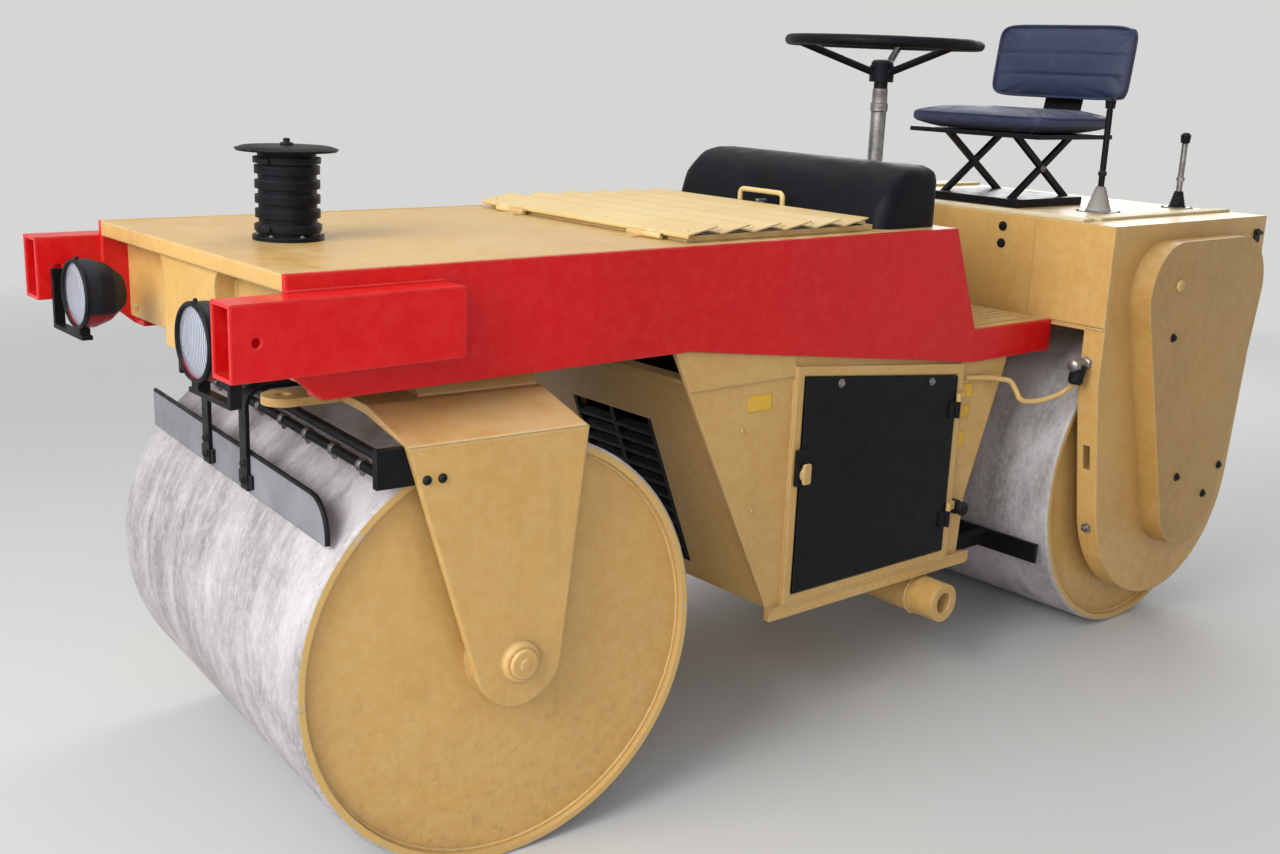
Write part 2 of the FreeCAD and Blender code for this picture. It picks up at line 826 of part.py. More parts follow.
# The cylinder that turns the fork lies along X at rest, between its bracket and the lug.
barrel = new_body("steering_barrel")
revolve(barrel, "x", ("pivot_x", "pin_y", "eye_mid"), [
    ("eye_radius - eye_overlap", "0"), ("eye_radius - eye_overlap", "eye_height / 2"),
    ("eye_radius + barrel_wall", "eye_height / 2"), ("eye_radius + barrel_wall", "barrel_radius"),
    ("barrel_length", "barrel_radius"), ("barrel_length", "rod_radius + running_gap"),
    ("barrel_length - gland_length", "rod_radius + running_gap"),
    ("barrel_length - gland_length", "barrel_radius - barrel_wall"),
    ("eye_radius + 2 * barrel_wall", "barrel_radius - barrel_wall"),
    ("eye_radius + 2 * barrel_wall", "0"),
])
pad(barrel, "z", "eye_low", "eye_height", [("pivot_x", "pin_y", "eye_radius")])
pocket(barrel, "z", "eye_low", "eye_height", [("pivot_x", "pin_y", "eye_bore")])

piston_rod = plain("steering_rod", "z", "eye_low", "eye_height", [("pin_x", "pin_y", "eye_radius")])
rod_start = "pivot_x + barrel_length - rod_inside"
pad(piston_rod, "x", rod_start, f"pin_x - eye_bore - ({rod_start})",
    [("pin_y", "eye_mid", "rod_radius")])
pad(piston_rod, "z", "eye_low + eye_height", "pin_head", [("pin_x", "pin_y", "eye_bore")])

bracket = plain("cylinder_bracket", "x", "bracket_face - bracket_plate", "bracket_plate", [rectangle(
    "pin_y - bracket_half", "pin_y + bracket_half",
    "eye_low - bracket_ear - bracket_gap", "eye_low + eye_height + bracket_gap + bracket_ear")])
for low in ("eye_low - bracket_gap - bracket_ear", "eye_low + eye_height + bracket_gap"):
    pad(bracket, "z", low, "bracket_ear", [rectangle(
        "bracket_face", "pivot_x + eye_radius", "pin_y - eye_radius", "pin_y + eye_radius")])
pad(bracket, "z", "eye_low - bracket_gap", "eye_height + 2 * bracket_gap",
    [("pivot_x", "pin_y", "eye_bore - running_gap")])
pad(bracket, "x", "bracket_face - 2 * bracket_plate", "bracket_plate", [rectangle(
    "-bay_inner", "bay_inner", "beam_low + member_inset", "deck_low")])

# Side beams: a deep plate that tapers to a low tail at the footwell, with a flange turned inwards.
BEAM = [
    ("lip_face", "beam_high"),
    ("lip_face", "beam_nose_low"),
    ("lip_face - beam_nose", "beam_low"),
    ("front_axis - beam_taper_back", "beam_low"),
    ("front_axis - beam_step_back", "beam_tail_low"),
    ("case_front", "beam_tail_low"),
    ("case_front", "beam_tail_high"),
    ("front_axis - beam_step_back", "beam_tail_high"),
    ("front_axis - beam_top_back", "beam_high"),
]
for side, sign in SIDES:
    beam = plain("beam_" + side, "y", on_side(sign, "beam_inner", "beam_plate"), "beam_plate", [BEAM])
    pad(beam, "y", on_side(sign, "beam_inner - beam_flange", "beam_flange"), "beam_flange", [rectangle(
        "front_axis - bay_front_top_back", "lip_face - beam_nose",
        "beam_low", "beam_low + beam_plate")])

tube_length = "front_overhang - tube_rear_ahead"
tubes = new_body("front_tubes")
for side, sign in SIDES:
    pad(tubes, "x", "front_axis + tube_rear_ahead", tube_length, [rectangle(
        *across(sign, "beam_out", "beam_out + tube_width"), "tube_low", "tube_low + tube_height")])
for side, sign in SIDES:
    pocket(tubes, "x", "front_axis + tube_rear_ahead + tube_wall", tube_length, [rectangle(
        *across(sign, "beam_out + tube_wall", "beam_out + tube_width - tube_wall"),
        "tube_low + tube_wall", "tube_low + tube_height - tube_wall")])
    pocket(tubes, "y", on_side(sign, "beam_out", "tube_width"), "tube_width",
           [("nose - tube_hole_back", "tube_middle", "tube_hole_radius")])

# Front deck with its folded lip, the panel behind the lip and the tow box with its pin.
deck = plain("front_deck", "y", "-beam_inner", "2 * beam_inner", [[
    ("deck_rear", "deck_low"), ("deck_rear", "beam_high"),
    ("lip_face", "beam_high"), ("lip_face", "beam_high - deck_lip"),
    ("lip_face - deck_plate", "beam_high - deck_lip"), ("lip_face - deck_plate", "deck_low"),
]])
plain("front_panel", "x", "panel_face - panel_plate", "panel_plate", [rectangle(
    "-beam_inner", "beam_inner", "tow_box_low + tow_gusset", "deck_low")])
tow = plain("tow_box", "x", "panel_face", "tow_box_depth", [[
    ("-tow_box_out - tow_spread", "deck_low"), ("-tow_box_out - tow_spread", "deck_low - tow_gusset"),
    ("-tow_box_out", "deck_low - tow_gusset"), ("-tow_box_out", "tow_box_low"),
    ("tow_box_out", "tow_box_low"), ("tow_box_out", "deck_low - tow_gusset"),
    ("tow_box_out + tow_spread", "deck_low - tow_gusset"), ("tow_box_out + tow_spread", "deck_low"),
]])
round_edges(tow, "tow_spread * 0.8", corners("x", [
    ("-tow_box_out", "deck_low - tow_gusset"), ("tow_box_out", "deck_low - tow_gusset")]))
pin = new_body("tow_pin")
revolve(pin, "z", ("panel_face + tow_box_depth / 2", "0", "0"), [
    ("tow_box_low - tow_pin_drop", "0"),
    ("tow_box_low - tow_pin_drop", "tow_pin_radius - rim_chamfer"),
    ("tow_box_low - tow_pin_drop + rim_chamfer", "tow_pin_radius"),
    ("tow_box_low", "tow_pin_radius"), ("tow_box_low", "0"),
])

# Headlamps: a bowl with a domed lens, each on a bent bracket from its tube.
lamps = new_body("headlamps")
lenses = new_body("headlamp_lenses")
lamp_brackets = new_body("lamp_brackets")
lens_radius = "lamp_radius - lamp_rim"
for side, sign in SIDES:
    centre = ("front_axis + lamp_ahead", f"{sign} * lamp_out", "lamp_high")
    revolve(lamps, "x", centre, [
        ("0", "0"), ("0", "lamp_radius / 2"), ("lamp_depth / 3", "lamp_radius * 0.85"),
        ("lamp_depth * 2 / 3", "lamp_radius"), ("lamp_depth", "lamp_radius"),
        ("lamp_depth", lens_radius), ("lamp_depth - lamp_rim", lens_radius),
        ("lamp_depth - lamp_rim", "0"),
    ])
    revolve(lenses, "x", centre, [
        ("lamp_depth - lamp_rim", "0"), ("lamp_depth - lamp_rim", lens_radius),
        ("lamp_depth - lamp_rim / 2", lens_radius), ("lamp_depth + lens_dome / 2", "lamp_radius * 0.6"),
        ("lamp_depth + lens_dome", "0"),
    ])
    strap_low = "lamp_foot - lamp_strap - lamp_post"
    strap_high = "lamp_foot - lamp_post"
    arm = [
        ("lamp_out - 2 * lamp_post", strap_low), ("beam_out", strap_low), ("beam_out", "tube_middle"),
        ("beam_out - lamp_strap", "tube_middle"), ("beam_out - lamp_strap", strap_high),
        ("lamp_out + lamp_post", strap_high), ("lamp_out + lamp_post", "lamp_foot"),
        ("lamp_out - lamp_post", "lamp_foot"), ("lamp_out - lamp_post", strap_high),
        ("lamp_out - 2 * lamp_post", strap_high),
    ]
    pad(lamp_brackets, "x", "front_axis + lamp_ahead + lamp_depth - lamp_strap_width", "lamp_strap_width",
        [[(f"{sign} * ({side_place})", up) for side_place, up in arm]])

# Air intake: a ribbed canister under a wide flat cap, turned in one piece.
profile = [
    ("beam_high", "0"), ("beam_high", "intake_radius + rib_depth"),
    ("beam_high + intake_base", "intake_radius + rib_depth"),
    ("beam_high + intake_base", "intake_radius - rib_depth"),
]
rib_pitch = "(intake_height - 2 * intake_margin) / intake_ribs"
for rib in range(int(value("intake_ribs"))):
    low = f"beam_high + intake_margin + {rib} * {rib_pitch}"
    high = f"{low} + {rib_pitch} * rib_share"
    profile += [(low, "intake_radius - rib_depth"), (low, "intake_radius"),
                (high, "intake_radius"), (high, "intake_radius - rib_depth")]
cap_low = "beam_high + intake_height"
profile += [
    (cap_low, "intake_radius - rib_depth"), (cap_low, "intake_cap_radius - cap_edge"),
    (f"{cap_low} + intake_cap_thick / 2", "intake_cap_radius"),
    (f"{cap_low} + intake_cap_thick", "intake_cap_radius - cap_slope"),
    (f"{cap_low} + intake_cap_thick + cap_edge", "0"),
]
intake = new_body("air_intake")
revolve(intake, "z", ("front_axis + intake_ahead", "0", "0"), profile)

# Engine bay top with its opening, and the louvred cover, which turns on two hinges at its front edge.
plain("bay_top_plate", "z", "deck_low", "deck_plate", [
    rectangle("front_axis - beam_top_back", "deck_rear", "-beam_inner", "beam_inner"),
    rectangle("cover_rear + cover_lap", "cover_hinge - cover_lap",
              "-cover_out + cover_lap", "cover_out - cover_lap"),
])
cover_low = "beam_high + running_gap"
frame_out = "cover_out - slat_lap"
cover = plain("engine_cover", "z", cover_low, f"cover_high - slat_rise - ({cover_low})", [
    rectangle("cover_rear", "cover_hinge", f"-({frame_out})", frame_out),
    rectangle("cover_rear + cover_tail", "cover_hinge - cover_sheet",
              f"-({frame_out}) + cover_rail", f"{frame_out} - cover_rail"),
])
pad(cover, "y", "-cover_out", "2 * cover_out", [rectangle(
    "cover_hinge - cover_sheet", "cover_hinge", cover_low, "cover_high")])
slat_pitch = "(cover_length - cover_tail) / slat_count"
for slat in range(int(value("slat_count"))):
    front = f"cover_hinge - {slat} * {slat_pitch}"
    rear = f"{front} - {slat_pitch} * slat_share"
    pad(cover, "y", "-cover_out", "2 * cover_out", [[
        (front, "cover_high - cover_sheet"), (front, "cover_high"),
        (rear, "cover_high - slat_rise"), (rear, "cover_high - slat_rise - cover_sheet"),
    ]])
for side, sign in SIDES:
    inner = "lid_hinge_out + running_gap"
    spot = ("lid_axis_x", "lid_axis_high", "lid_knuckle")
    pad(cover, "y", on_side(sign, inner, "lid_hinge_width"), "lid_hinge_width", [spot])
    pad(cover, "y", on_side(sign, inner, "lid_hinge_width"), "lid_hinge_width", [rectangle(
        "cover_hinge", "lid_axis_x", "lid_axis_high", "lid_axis_high + lid_knuckle")])
    inner = "lid_hinge_out - lid_hinge_width"
    pad(deck, "y", on_side(sign, inner, "lid_hinge_width"), "lid_hinge_width", [spot])
    pad(deck, "y", on_side(sign, inner, "lid_hinge_width"), "lid_hinge_width", [rectangle(
        "lid_axis_x", "lid_axis_x + lid_leaf", "beam_high", "beam_high + lid_leaf_thick")])
handle_x = "cover_rear + cover_tail / 2"
handle_low = "cover_high - slat_rise"
handle_high = "cover_high - slat_rise + handle_rise"
joined("cover_handle", [bent_strap([
    (handle_x, "-handle_half", handle_low), (handle_x, "-handle_half", handle_high),
    (handle_x, "handle_half", handle_high), (handle_x, "handle_half", handle_low)],
    "2 * handle_radius", ring_section("handle_radius"))])

plain("engine_block", "x", "engine_rear", "engine_front - engine_rear", [[
    ("-engine_sump", "bay_low + bay_plate"), ("engine_sump", "bay_low + bay_plate"),
    ("engine_sump", "engine_step"), ("engine_half", "engine_step"),
    ("engine_half", "engine_high"), ("-engine_half", "engine_high"),
    ("-engine_half", "engine_step"), ("-engine_sump", "engine_step"),
]])

# Engine bay: tapered sides with a raised door frame, and one folded sheet for its slanted front
# wall, floor and rear wall. Each door turns on two hinges at its rear edge.
BAY = [
    ("front_axis - bay_front_top_back", "bay_top"),
    ("front_axis - bay_front_low_back", "bay_low"),
    ("front_axis - bay_rear_low_back", "bay_low"),
    ("front_axis - bay_rear_mid_back", "bay_rear_mid_high"),
    ("front_axis - bay_rear_top_back", "bay_rear_top_high"),
    ("front_axis - bay_rear_top_back", "footplate_low"),
    ("footwell_face", "footplate_low"),
    ("footwell_face", "bay_top"),
]


def door_outline(grow):
    """The door's outline, grown by a margin on every side."""
    front = f"front_axis - door_front_back + ({grow})"
    rear = f"door_rear - ({grow})"
    return [(rear, f"door_low - ({grow})"), (front, f"door_low - ({grow})"),
            (front, f"door_front_high + ({grow})"), (rear, f"door_rear_high + ({grow})")]


for side, sign in SIDES:
    panel = plain("bay_side_" + side, "y", on_side(sign, "bay_inner", "bay_plate"),
                  "bay_plate", [BAY, door_outline("-door_lap")])
    band = [(f"front_axis - bay_front_low_back + ({high} - bay_low) * bay_slope", high)
            for high in ("beam_low", "beam_low - band_drop")]
    frame_front_back = "door_front_back - door_gap - frame_width"
    pad(panel, "y", on_side(sign, "bay_out", "band_proud"), "band_proud", [band + [
        (f"front_axis - ({frame_front_back})", "beam_low - band_drop"),
        (f"front_axis - ({frame_front_back})",
         f"beam_low - ({frame_front_back} - beam_taper_back) * beam_slope"),
        ("front_axis - beam_taper_back", "beam_low")]])
    sill_thick = "bay_plate + frame_proud"
    pad(panel, "y", on_side(sign, "bay_inner", sill_thick), sill_thick, [rectangle(
        "sill_rear", "front_axis - bay_front_low_back", "sill_low", "sill_high")])
    round_edges(panel, "(sill_high - sill_low) / 2 - fillet_spare", corners("y", [
        ("sill_rear", "sill_low"), ("sill_rear", "sill_high")]))
    pad(panel, "y", on_side(sign, "bay_out", "frame_proud"), "frame_proud",
        [door_outline("door_gap + frame_width"), door_outline("door_gap")])
    door = plain("side_door_" + side, "y", on_side(sign, "door_inner", "door_thick"),
                 "door_thick", [door_outline("0")])
    pad(door, "y", on_side(sign, "door_face", "latch_thick"), "latch_thick", [rectangle(
        "front_axis - door_front_back - latch_half", "front_axis - door_front_back + latch_half",
        "latch_high - latch_half * 2", "latch_high + latch_half * 2")])
    knuckle = ("hinge_x", f"{sign} * hinge_y", "hinge_radius")
    for low in ("door_low + hinge_inset", "door_rear_high - hinge_inset - hinge_height"):
        pad(door, "z", low, "hinge_height - running_gap", [knuckle])
        pad(door, "z", low, "hinge_height - running_gap", [rectangle(
            "hinge_x", "hinge_x + hinge_leaf", *across(sign, "door_face", "hinge_y"))])
        pad(panel, "z", f"{low} + hinge_height", "hinge_height / 2", [knuckle])
        pad(panel, "z", f"{low} + hinge_height", "hinge_height / 2", [rectangle(
            "hinge_x - hinge_leaf", "hinge_x", *across(sign, "bay_out + frame_proud", "hinge_y"))])

pan = plain("bay_pan", "y", "-bay_inner", "2 * bay_inner", [[
    ("wall_top + wall_flange", "wall_high"), ("wall_top + wall_flange", "wall_high - bay_plate"),
    ("wall_top", "wall_high - bay_plate"), ("wall_low", "bay_low"),
    ("front_axis - bay_rear_low_back", "bay_low"),
    ("front_axis - bay_rear_mid_back", "bay_rear_mid_high"),
    ("front_axis - bay_rear_top_back", "bay_rear_top_high"),
    ("front_axis - bay_rear_top_back", "footplate_low"),
    ("front_axis - bay_rear_top_back + bay_plate", "footplate_low"),
    ("front_axis - bay_rear_top_back + bay_plate", "bay_rear_top_high"),
    ("front_axis - bay_rear_mid_back + bay_plate", "bay_rear_mid_high"),
    ("front_axis - bay_rear_low_back + bay_plate", "bay_low + bay_plate"),
    ("wall_low - bay_plate", "bay_low + bay_plate"), ("wall_top - bay_plate", "wall_high"),
]])

pocket(pan, "x", "wall_low - 2 * bay_plate", "wall_top - wall_low + 2 * bay_plate",
       [rectangle("-grille_out", "grille_out", "grille_low", "grille_high")])


def grille_bar(low, high, lean):
    """A bar's section between the slanted wall's two faces, its inner edges raised by the lean."""
    outer = [(f"wall_low + ({level} - bay_low) * wall_slope", level) for level in (low, high)]
    inner = [(f"wall_low - bay_plate + ({level} + ({lean}) - bay_low - bay_plate) * wall_slope",
              f"{level} + ({lean})") for level in (high, low)]
    return outer + inner


# The grille in the slanted wall's window: leaning bars between three rails.
grille = new_body("wall_grille")
rails = grille_bar("grille_low", "grille_high", "0")
for inner in ("-grille_out", "-grille_rail / 2", "grille_out - grille_rail"):
    pad(grille, "y", inner, "grille_rail", [rails])
grille_pitch = "(grille_high - grille_low - grille_lean) / grille_bars"
bars = []
for bar in range(int(value("grille_bars"))):
    low = f"grille_low + {bar} * {grille_pitch}"
    bars.append(grille_bar(low, f"{low} + {grille_pitch} * grille_share", "grille_lean"))
pad(grille, "y", "-grille_out", "2 * grille_out", bars)

cross_tube = new_body("cross_tube")
revolve(cross_tube, "y", ("tube_axis", "0", "cross_tube_high"), [
    ("-cross_tube_out", "cross_tube_bore"), ("-cross_tube_out", "cross_tube_radius"),
    ("cross_tube_out", "cross_tube_radius"), ("cross_tube_out", "cross_tube_bore"),
])
saddles = new_body("tube_saddles")
for side, sign in SIDES:
    pad(saddles, "y", on_side(sign, "saddle_out", "saddle_width"), "saddle_width", [rectangle(
        "tube_axis - saddle_half", "tube_axis + saddle_half",
        "cross_tube_high + cross_tube_radius / 2", "bay_low")])
    pocket(saddles, "y", on_side(sign, "saddle_out", "saddle_width"), "saddle_width",
           [("tube_axis", "cross_tube_high", "cross_tube_radius")])

# Console, the folded sheet of the footwell, the steering column and the wheel.
plain("console", "y", "-console_out", "2 * console_out", [[
    ("front_axis - console_front_back", "beam_high"),
    ("front_axis - console_front_back - console_rake", "beam_high + console_nose"),
    ("front_axis - console_front_back - console_slope", "console_high"),
    ("footwell_face", "console_high"),
    ("footwell_face", "beam_high"),
]])
plain("footwell", "y", "-beam_inner", "2 * beam_inner", [[
    ("case_front", "footplate_low"), ("footwell_face", "footplate_low"),
    ("footwell_face", "deck_low"), ("footwell_face - footplate_thick", "deck_low"),
    ("footwell_face - footplate_thick", "footplate_high"), ("case_front", "footplate_high"),
]])

column = new_body("steering_column")
revolve(column, "z", ("wheel_x", "0", "0"), [
    ("footplate_high", "0"), ("footplate_high", "column_foot"),
    ("footplate_high + column_step", "column_foot"),
    ("footplate_high + column_step", "column_radius * 1.4"),
    ("footplate_high + column_sleeve", "column_radius * 1.4"),
    ("footplate_high + column_sleeve", "column_radius"),
    ("hub_low - running_gap", "column_radius"), ("hub_low - running_gap", "0"),
])
wheel_centre = Vector(value("wheel_x"), 0, 0)
rim = Part.makeTorus(value("wheel_radius"), value("wheel_rim"),
                     wheel_centre + Vector(0, 0, value("wheel_high")))
hub = Part.makeCylinder(value("wheel_hub"), value("hub_height"),
                        wheel_centre + Vector(0, 0, value("hub_low")))
spokes = []
for turn in (90, 210, 330):
    heading = math.radians(turn)
    reach = Vector(math.cos(heading), math.sin(heading), 0)
    start = wheel_centre + Vector(0, 0, value("hub_low + hub_height / 2")) + reach * value("wheel_hub / 2")
    end = wheel_centre + Vector(0, 0, value("wheel_high")) + reach * value("wheel_radius")
    spokes.append(Part.makeCylinder(value("spoke_radius"), (end - start).Length, start, end - start))
joined("steering_wheel", [rim, hub] + spokes)

# Rear platform with the corner plates on its front, the side cases over the drum's ends and their
# raised covers.
platform = plain("platform_box", "y", "-case_inner", "2 * case_inner", [[
    ("tail", "platform_low"), ("tail", "case_high"), ("case_front", "case_high"),
    ("case_front", "platform_low"), ("case_front - platform_plate", "platform_low"),
    ("case_front - platform_plate", "case_high - platform_plate"),
    ("tail + platform_plate", "case_high - platform_plate"),
    ("tail + platform_plate", "platform_low"),
]])
for side, sign in SIDES:
    pad(platform, "x", "case_front", "corner_plate", [rectangle(
        *across(sign, "corner_plate_out", "case_out"), "footplate_high", "case_high")])
for side, sign in SIDES:
    case = plain("side_case_" + side, "y", on_side(sign, "case_inner", "case_thick"), "case_thick", [
        {"over": [("tail", "case_taper_high"), ("tail", "case_high"), ("case_front", "case_high"),
                  ("case_front", "case_taper_high")],
         "centre": ("front_axis - case_round_back", "case_round_high"), "radius": "case_round"}])
    bore_depth = "case_thick / 2 + running_gap"
    pocket(case, "y", on_side(sign, "case_inner", bore_depth), bore_depth,
           [("rear_axis", "drum_radius", "shaft_radius + running_gap")])
    slot_low = "drum_radius + case_slot_rise"
    slot_inner = "case_inner + case_slot_inset"
    pocket(case, "x", "case_front - case_slot_depth", "case_slot_depth", [rectangle(
        *across(sign, slot_inner, f"{slot_inner} + case_slot_width"),
        slot_low, f"{slot_low} + case_slot_height")])
    top_corners = [("front_axis - cover_rear_top_back", "cover_top_high"),
                   ("front_axis - cover_front_top_back", "cover_top_high")]
    raised = plain("case_cover_" + side, "y", on_side(sign, "case_out", "cover_plate"),
                   "cover_plate", [
        {"over": top_corners,
         "centre": ("front_axis - cover_round_back", "cover_round_high"),
         "radius": "cover_round"}])
    round_edges(raised, "cover_corner", corners("y", top_corners))

tread_side = "case_front - tread_margin - tread_depth - tread_break"
plain("platform_treads", "z", "case_high", "tread_height", [
    rectangle("case_front - tread_margin - tread_depth", "case_front - tread_margin",
              "-tread_out", "tread_out"),
    rectangle("tail + tread_margin", tread_side, "tread_out - tread_width", "tread_out"),
    rectangle("tail + tread_margin", tread_side, "-tread_out", "-tread_out + tread_width"),
])

# Seat: two crossed links on a base carry the pan, whose strap holds the back.
low_pin = "case_high + seat_plate"
frame = plain("seat_frame", "z", "case_high", "seat_plate", [rectangle(
    "seat_x - scissor_half", "seat_x + scissor_half", "-scissor_half", "scissor_half")])
for side, sign in SIDES:
    for lean in (1, -1):
        foot = f"{lean} * (scissor_half - scissor_width)"
        pad(frame, "y", on_side(sign, "scissor_out", "scissor_bar"), "scissor_bar", [[
            (f"seat_x - {foot} - scissor_width / 2", low_pin),
            (f"seat_x - {foot} + scissor_width / 2", low_pin),
            (f"seat_x + {foot} + scissor_width / 2", "pan_low"),
            (f"seat_x + {foot} - scissor_width / 2", "pan_low"),
        ]])
pad(frame, "z", "pan_low", "seat_low - pan_low - running_gap", [rectangle(
    "seat_rear + pan_inset", "seat_x + seat_depth / 2 - pan_inset",
    "-seat_width / 2 + pan_inset", "seat_width / 2 - pan_inset")])
lean_at = "seat_lean * seat_strap_rise / (seat_back_high - seat_back_low)"
strap_back = "seat_rear - seat_back_set - running_gap - seat_strap"
pad(frame, "y", "-seat_strap_half", "2 * seat_strap_half", [[
    ("seat_rear + seat_strap_lap", "pan_low"), ("seat_rear - seat_strap_run", "pan_low"),
    (strap_back, "seat_back_low"), (f"{strap_back} - {lean_at}", "seat_back_low + seat_strap_rise"),
    (f"{strap_back} + seat_strap - {lean_at}", "seat_back_low + seat_strap_rise"),
    (f"{strap_back} + seat_strap", "seat_back_low"),
    ("seat_rear - seat_strap_run + seat_strap / 2", "pan_low + seat_strap"),
    ("seat_rear + seat_strap_lap", "pan_low + seat_strap"),
]])
plain("seat_cushion", "z", "seat_low", "seat_thick", [rectangle(
    "seat_rear", "seat_x + seat_depth / 2", "-seat_width / 2", "seat_width / 2")])
plain("seat_back", "y", "-seat_width / 2", "seat_width", [[
    ("seat_rear - seat_back_set", "seat_back_low"),
    ("seat_rear - seat_back_set + seat_back_thick", "seat_back_low"),
    ("seat_rear - seat_back_set + seat_back_thick - seat_lean", "seat_back_high"),
    ("seat_rear - seat_back_set - seat_lean", "seat_back_high"),
]])

# Two levers in their rubber boots, one beside the seat and one at the platform's rear corner.
# Each row: name, back from the front axis, out, rise, boot height.
LEVERS = [
    ("drive_lever", "lever_back", "lever_out", "lever_rise", "lever_boot"),
    ("rear_lever", "rear_lever_back", "rear_lever_out", "rear_lever_rise", "rear_lever_boot"),
]
for name, back, out, rise, boot in LEVERS:
    lever = new_body(name)
    grip_low = f"case_high + {rise} - 4 * lever_radius"
    revolve(lever, "z", (f"front_axis - {back}", out, "0"), [
        ("case_high", "0"), ("case_high", f"{boot} / 2"),
        ("case_high + boot_foot", f"{boot} / 2"),
        (f"case_high + {boot}", "lever_radius * 1.6"), (f"case_high + {boot}", "lever_radius"),
        (grip_low, "lever_radius"), (grip_low, "lever_radius * 1.7"),
        (f"case_high + {rise} - lever_radius", "lever_radius * 2"),
        (f"case_high + {rise}", "lever_radius"), (f"case_high + {rise}", "0"),
    ])

# Front scraper on two bent straps, the sprinkler pipes between lugs on the fork, and the two eyes
# on the bridge's front edge that the machine is lashed by.
blade = plain("scraper_blade", "x", "blade_face", "blade_thick", [rectangle(
    "-blade_out", "blade_out", "blade_low", "blade_low + blade_height")])
round_edges(blade, "blade_corner", corners("x", [("blade_out", "blade_low + blade_height")]))
strap_front = "blade_face + blade_thick + scraper_arm_thick / 2"
strap_high = "bridge_high - scraper_arm_thick"
arms = joined("scraper_arms", [bent_strap(
    [("front_axis + fork_front", place, strap_high), (strap_front, place, strap_high),
     (strap_front, place, "blade_low + blade_show")],
    "scraper_bend", strap_section("scraper_arm_width", "scraper_arm_thick"))
    for place in ("scraper_arm_out", "-scraper_arm_out")])
pipes = new_body("sprinkler_pipes")
lug_inner = "fork_inner - pipe_lug"
for side, sign in SIDES:
    pad(pipes, "y", on_side(sign, lug_inner, "pipe_lug"), "pipe_lug", [rectangle(
        "front_axis + fork_front - pipe_lug_reach", "front_axis + pipe_ahead + 2 * pipe_radius",
        "pipe_high - 2 * pipe_radius", "pipe_high + pipe_pitch + 2 * pipe_radius")])
for high in ("pipe_high", "pipe_high + pipe_pitch"):
    pad(pipes, "y", f"-({lug_inner})", f"2 * ({lug_inner})", [
        ("front_axis + pipe_ahead", high, "pipe_radius")])
fork_lugs = new_body("fork_lugs")
for side, sign in SIDES:
    middle = f"{sign} * fork_lug_out"
    pad(fork_lugs, "z", "lug_low", "bridge_plate", [rectangle(
        "front_axis + fork_front", "lug_eye", f"{middle} - fork_lug_radius", f"{middle} + fork_lug_radius")])
    pad(fork_lugs, "z", "lug_low", "bridge_plate", [("lug_eye", middle, "fork_lug_radius")])
    pocket(fork_lugs, "z", "lug_low", "bridge_plate", [("lug_eye", middle, "fork_lug_hole")])
STEERED += [blade, arms, pipes, fork_lugs]

# Rear scraper: a blade across the drum on two bars under the engine bay.
rear_scraper = plain("rear_scraper", "x", "rear_blade_face", "blade_thick", [rectangle(
    "-rear_blade_out", "rear_blade_out", "bay_low - rear_blade_height", "bay_low")])
for side, sign in SIDES:
    pad(rear_scraper, "y", on_side(sign, "rear_bar_out", "rear_bar"), "rear_bar", [rectangle(
        "rear_blade_face + blade_thick", "front_axis - bay_rear_low_back + rear_bar * 2",
        "bay_low - rear_bar", "bay_low")])

# The fork group stands turned by the rest angle.
for node in STEERED:
    node.Placement = turn_about(kingpin_spot, -value("steer_rest")) * node.Placement
doc.recompute()

for item in doc.Objects:
    if "Invalid" in item.State or "Error" in item.State:
        raise ValueError(item.Label + " did not build")
nodes = [item for item in doc.Objects if item.TypeId in ("PartDesign::Body", "Part::Feature")
         and not item.getParentGeoFeatureGroup()]
for node in nodes:
    if node.Shape.isNull() or not node.Shape.isValid():
        raise ValueError(node.Label + " has no valid shape")
os.makedirs("parts", exist_ok=True)
for node in nodes:
    node.Shape.exportStep(f"parts/{node.Label}.step")
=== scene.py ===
import json
import math
import random

import bmesh
import bpy
from mathutils import Matrix, Vector
from mathutils.bvhtree import BVHTree


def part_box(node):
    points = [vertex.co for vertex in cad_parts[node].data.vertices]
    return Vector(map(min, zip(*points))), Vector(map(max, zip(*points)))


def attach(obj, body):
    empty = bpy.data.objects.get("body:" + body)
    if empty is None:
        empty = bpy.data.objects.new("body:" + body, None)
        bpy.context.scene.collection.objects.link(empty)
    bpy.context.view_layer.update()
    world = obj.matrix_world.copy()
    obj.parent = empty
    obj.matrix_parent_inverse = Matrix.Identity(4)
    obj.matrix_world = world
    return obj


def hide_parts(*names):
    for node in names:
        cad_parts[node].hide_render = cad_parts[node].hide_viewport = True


# Road roller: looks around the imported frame. Metres, +X forward, +Y the machine's left, +Z up.
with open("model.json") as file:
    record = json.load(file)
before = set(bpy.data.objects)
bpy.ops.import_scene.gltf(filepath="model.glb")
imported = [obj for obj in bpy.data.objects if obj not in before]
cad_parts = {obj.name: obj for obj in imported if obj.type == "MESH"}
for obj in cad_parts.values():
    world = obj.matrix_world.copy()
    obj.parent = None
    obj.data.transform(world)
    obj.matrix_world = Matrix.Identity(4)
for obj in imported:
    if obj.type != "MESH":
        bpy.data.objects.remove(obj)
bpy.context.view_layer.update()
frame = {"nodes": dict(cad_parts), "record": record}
NODES = frame["nodes"]

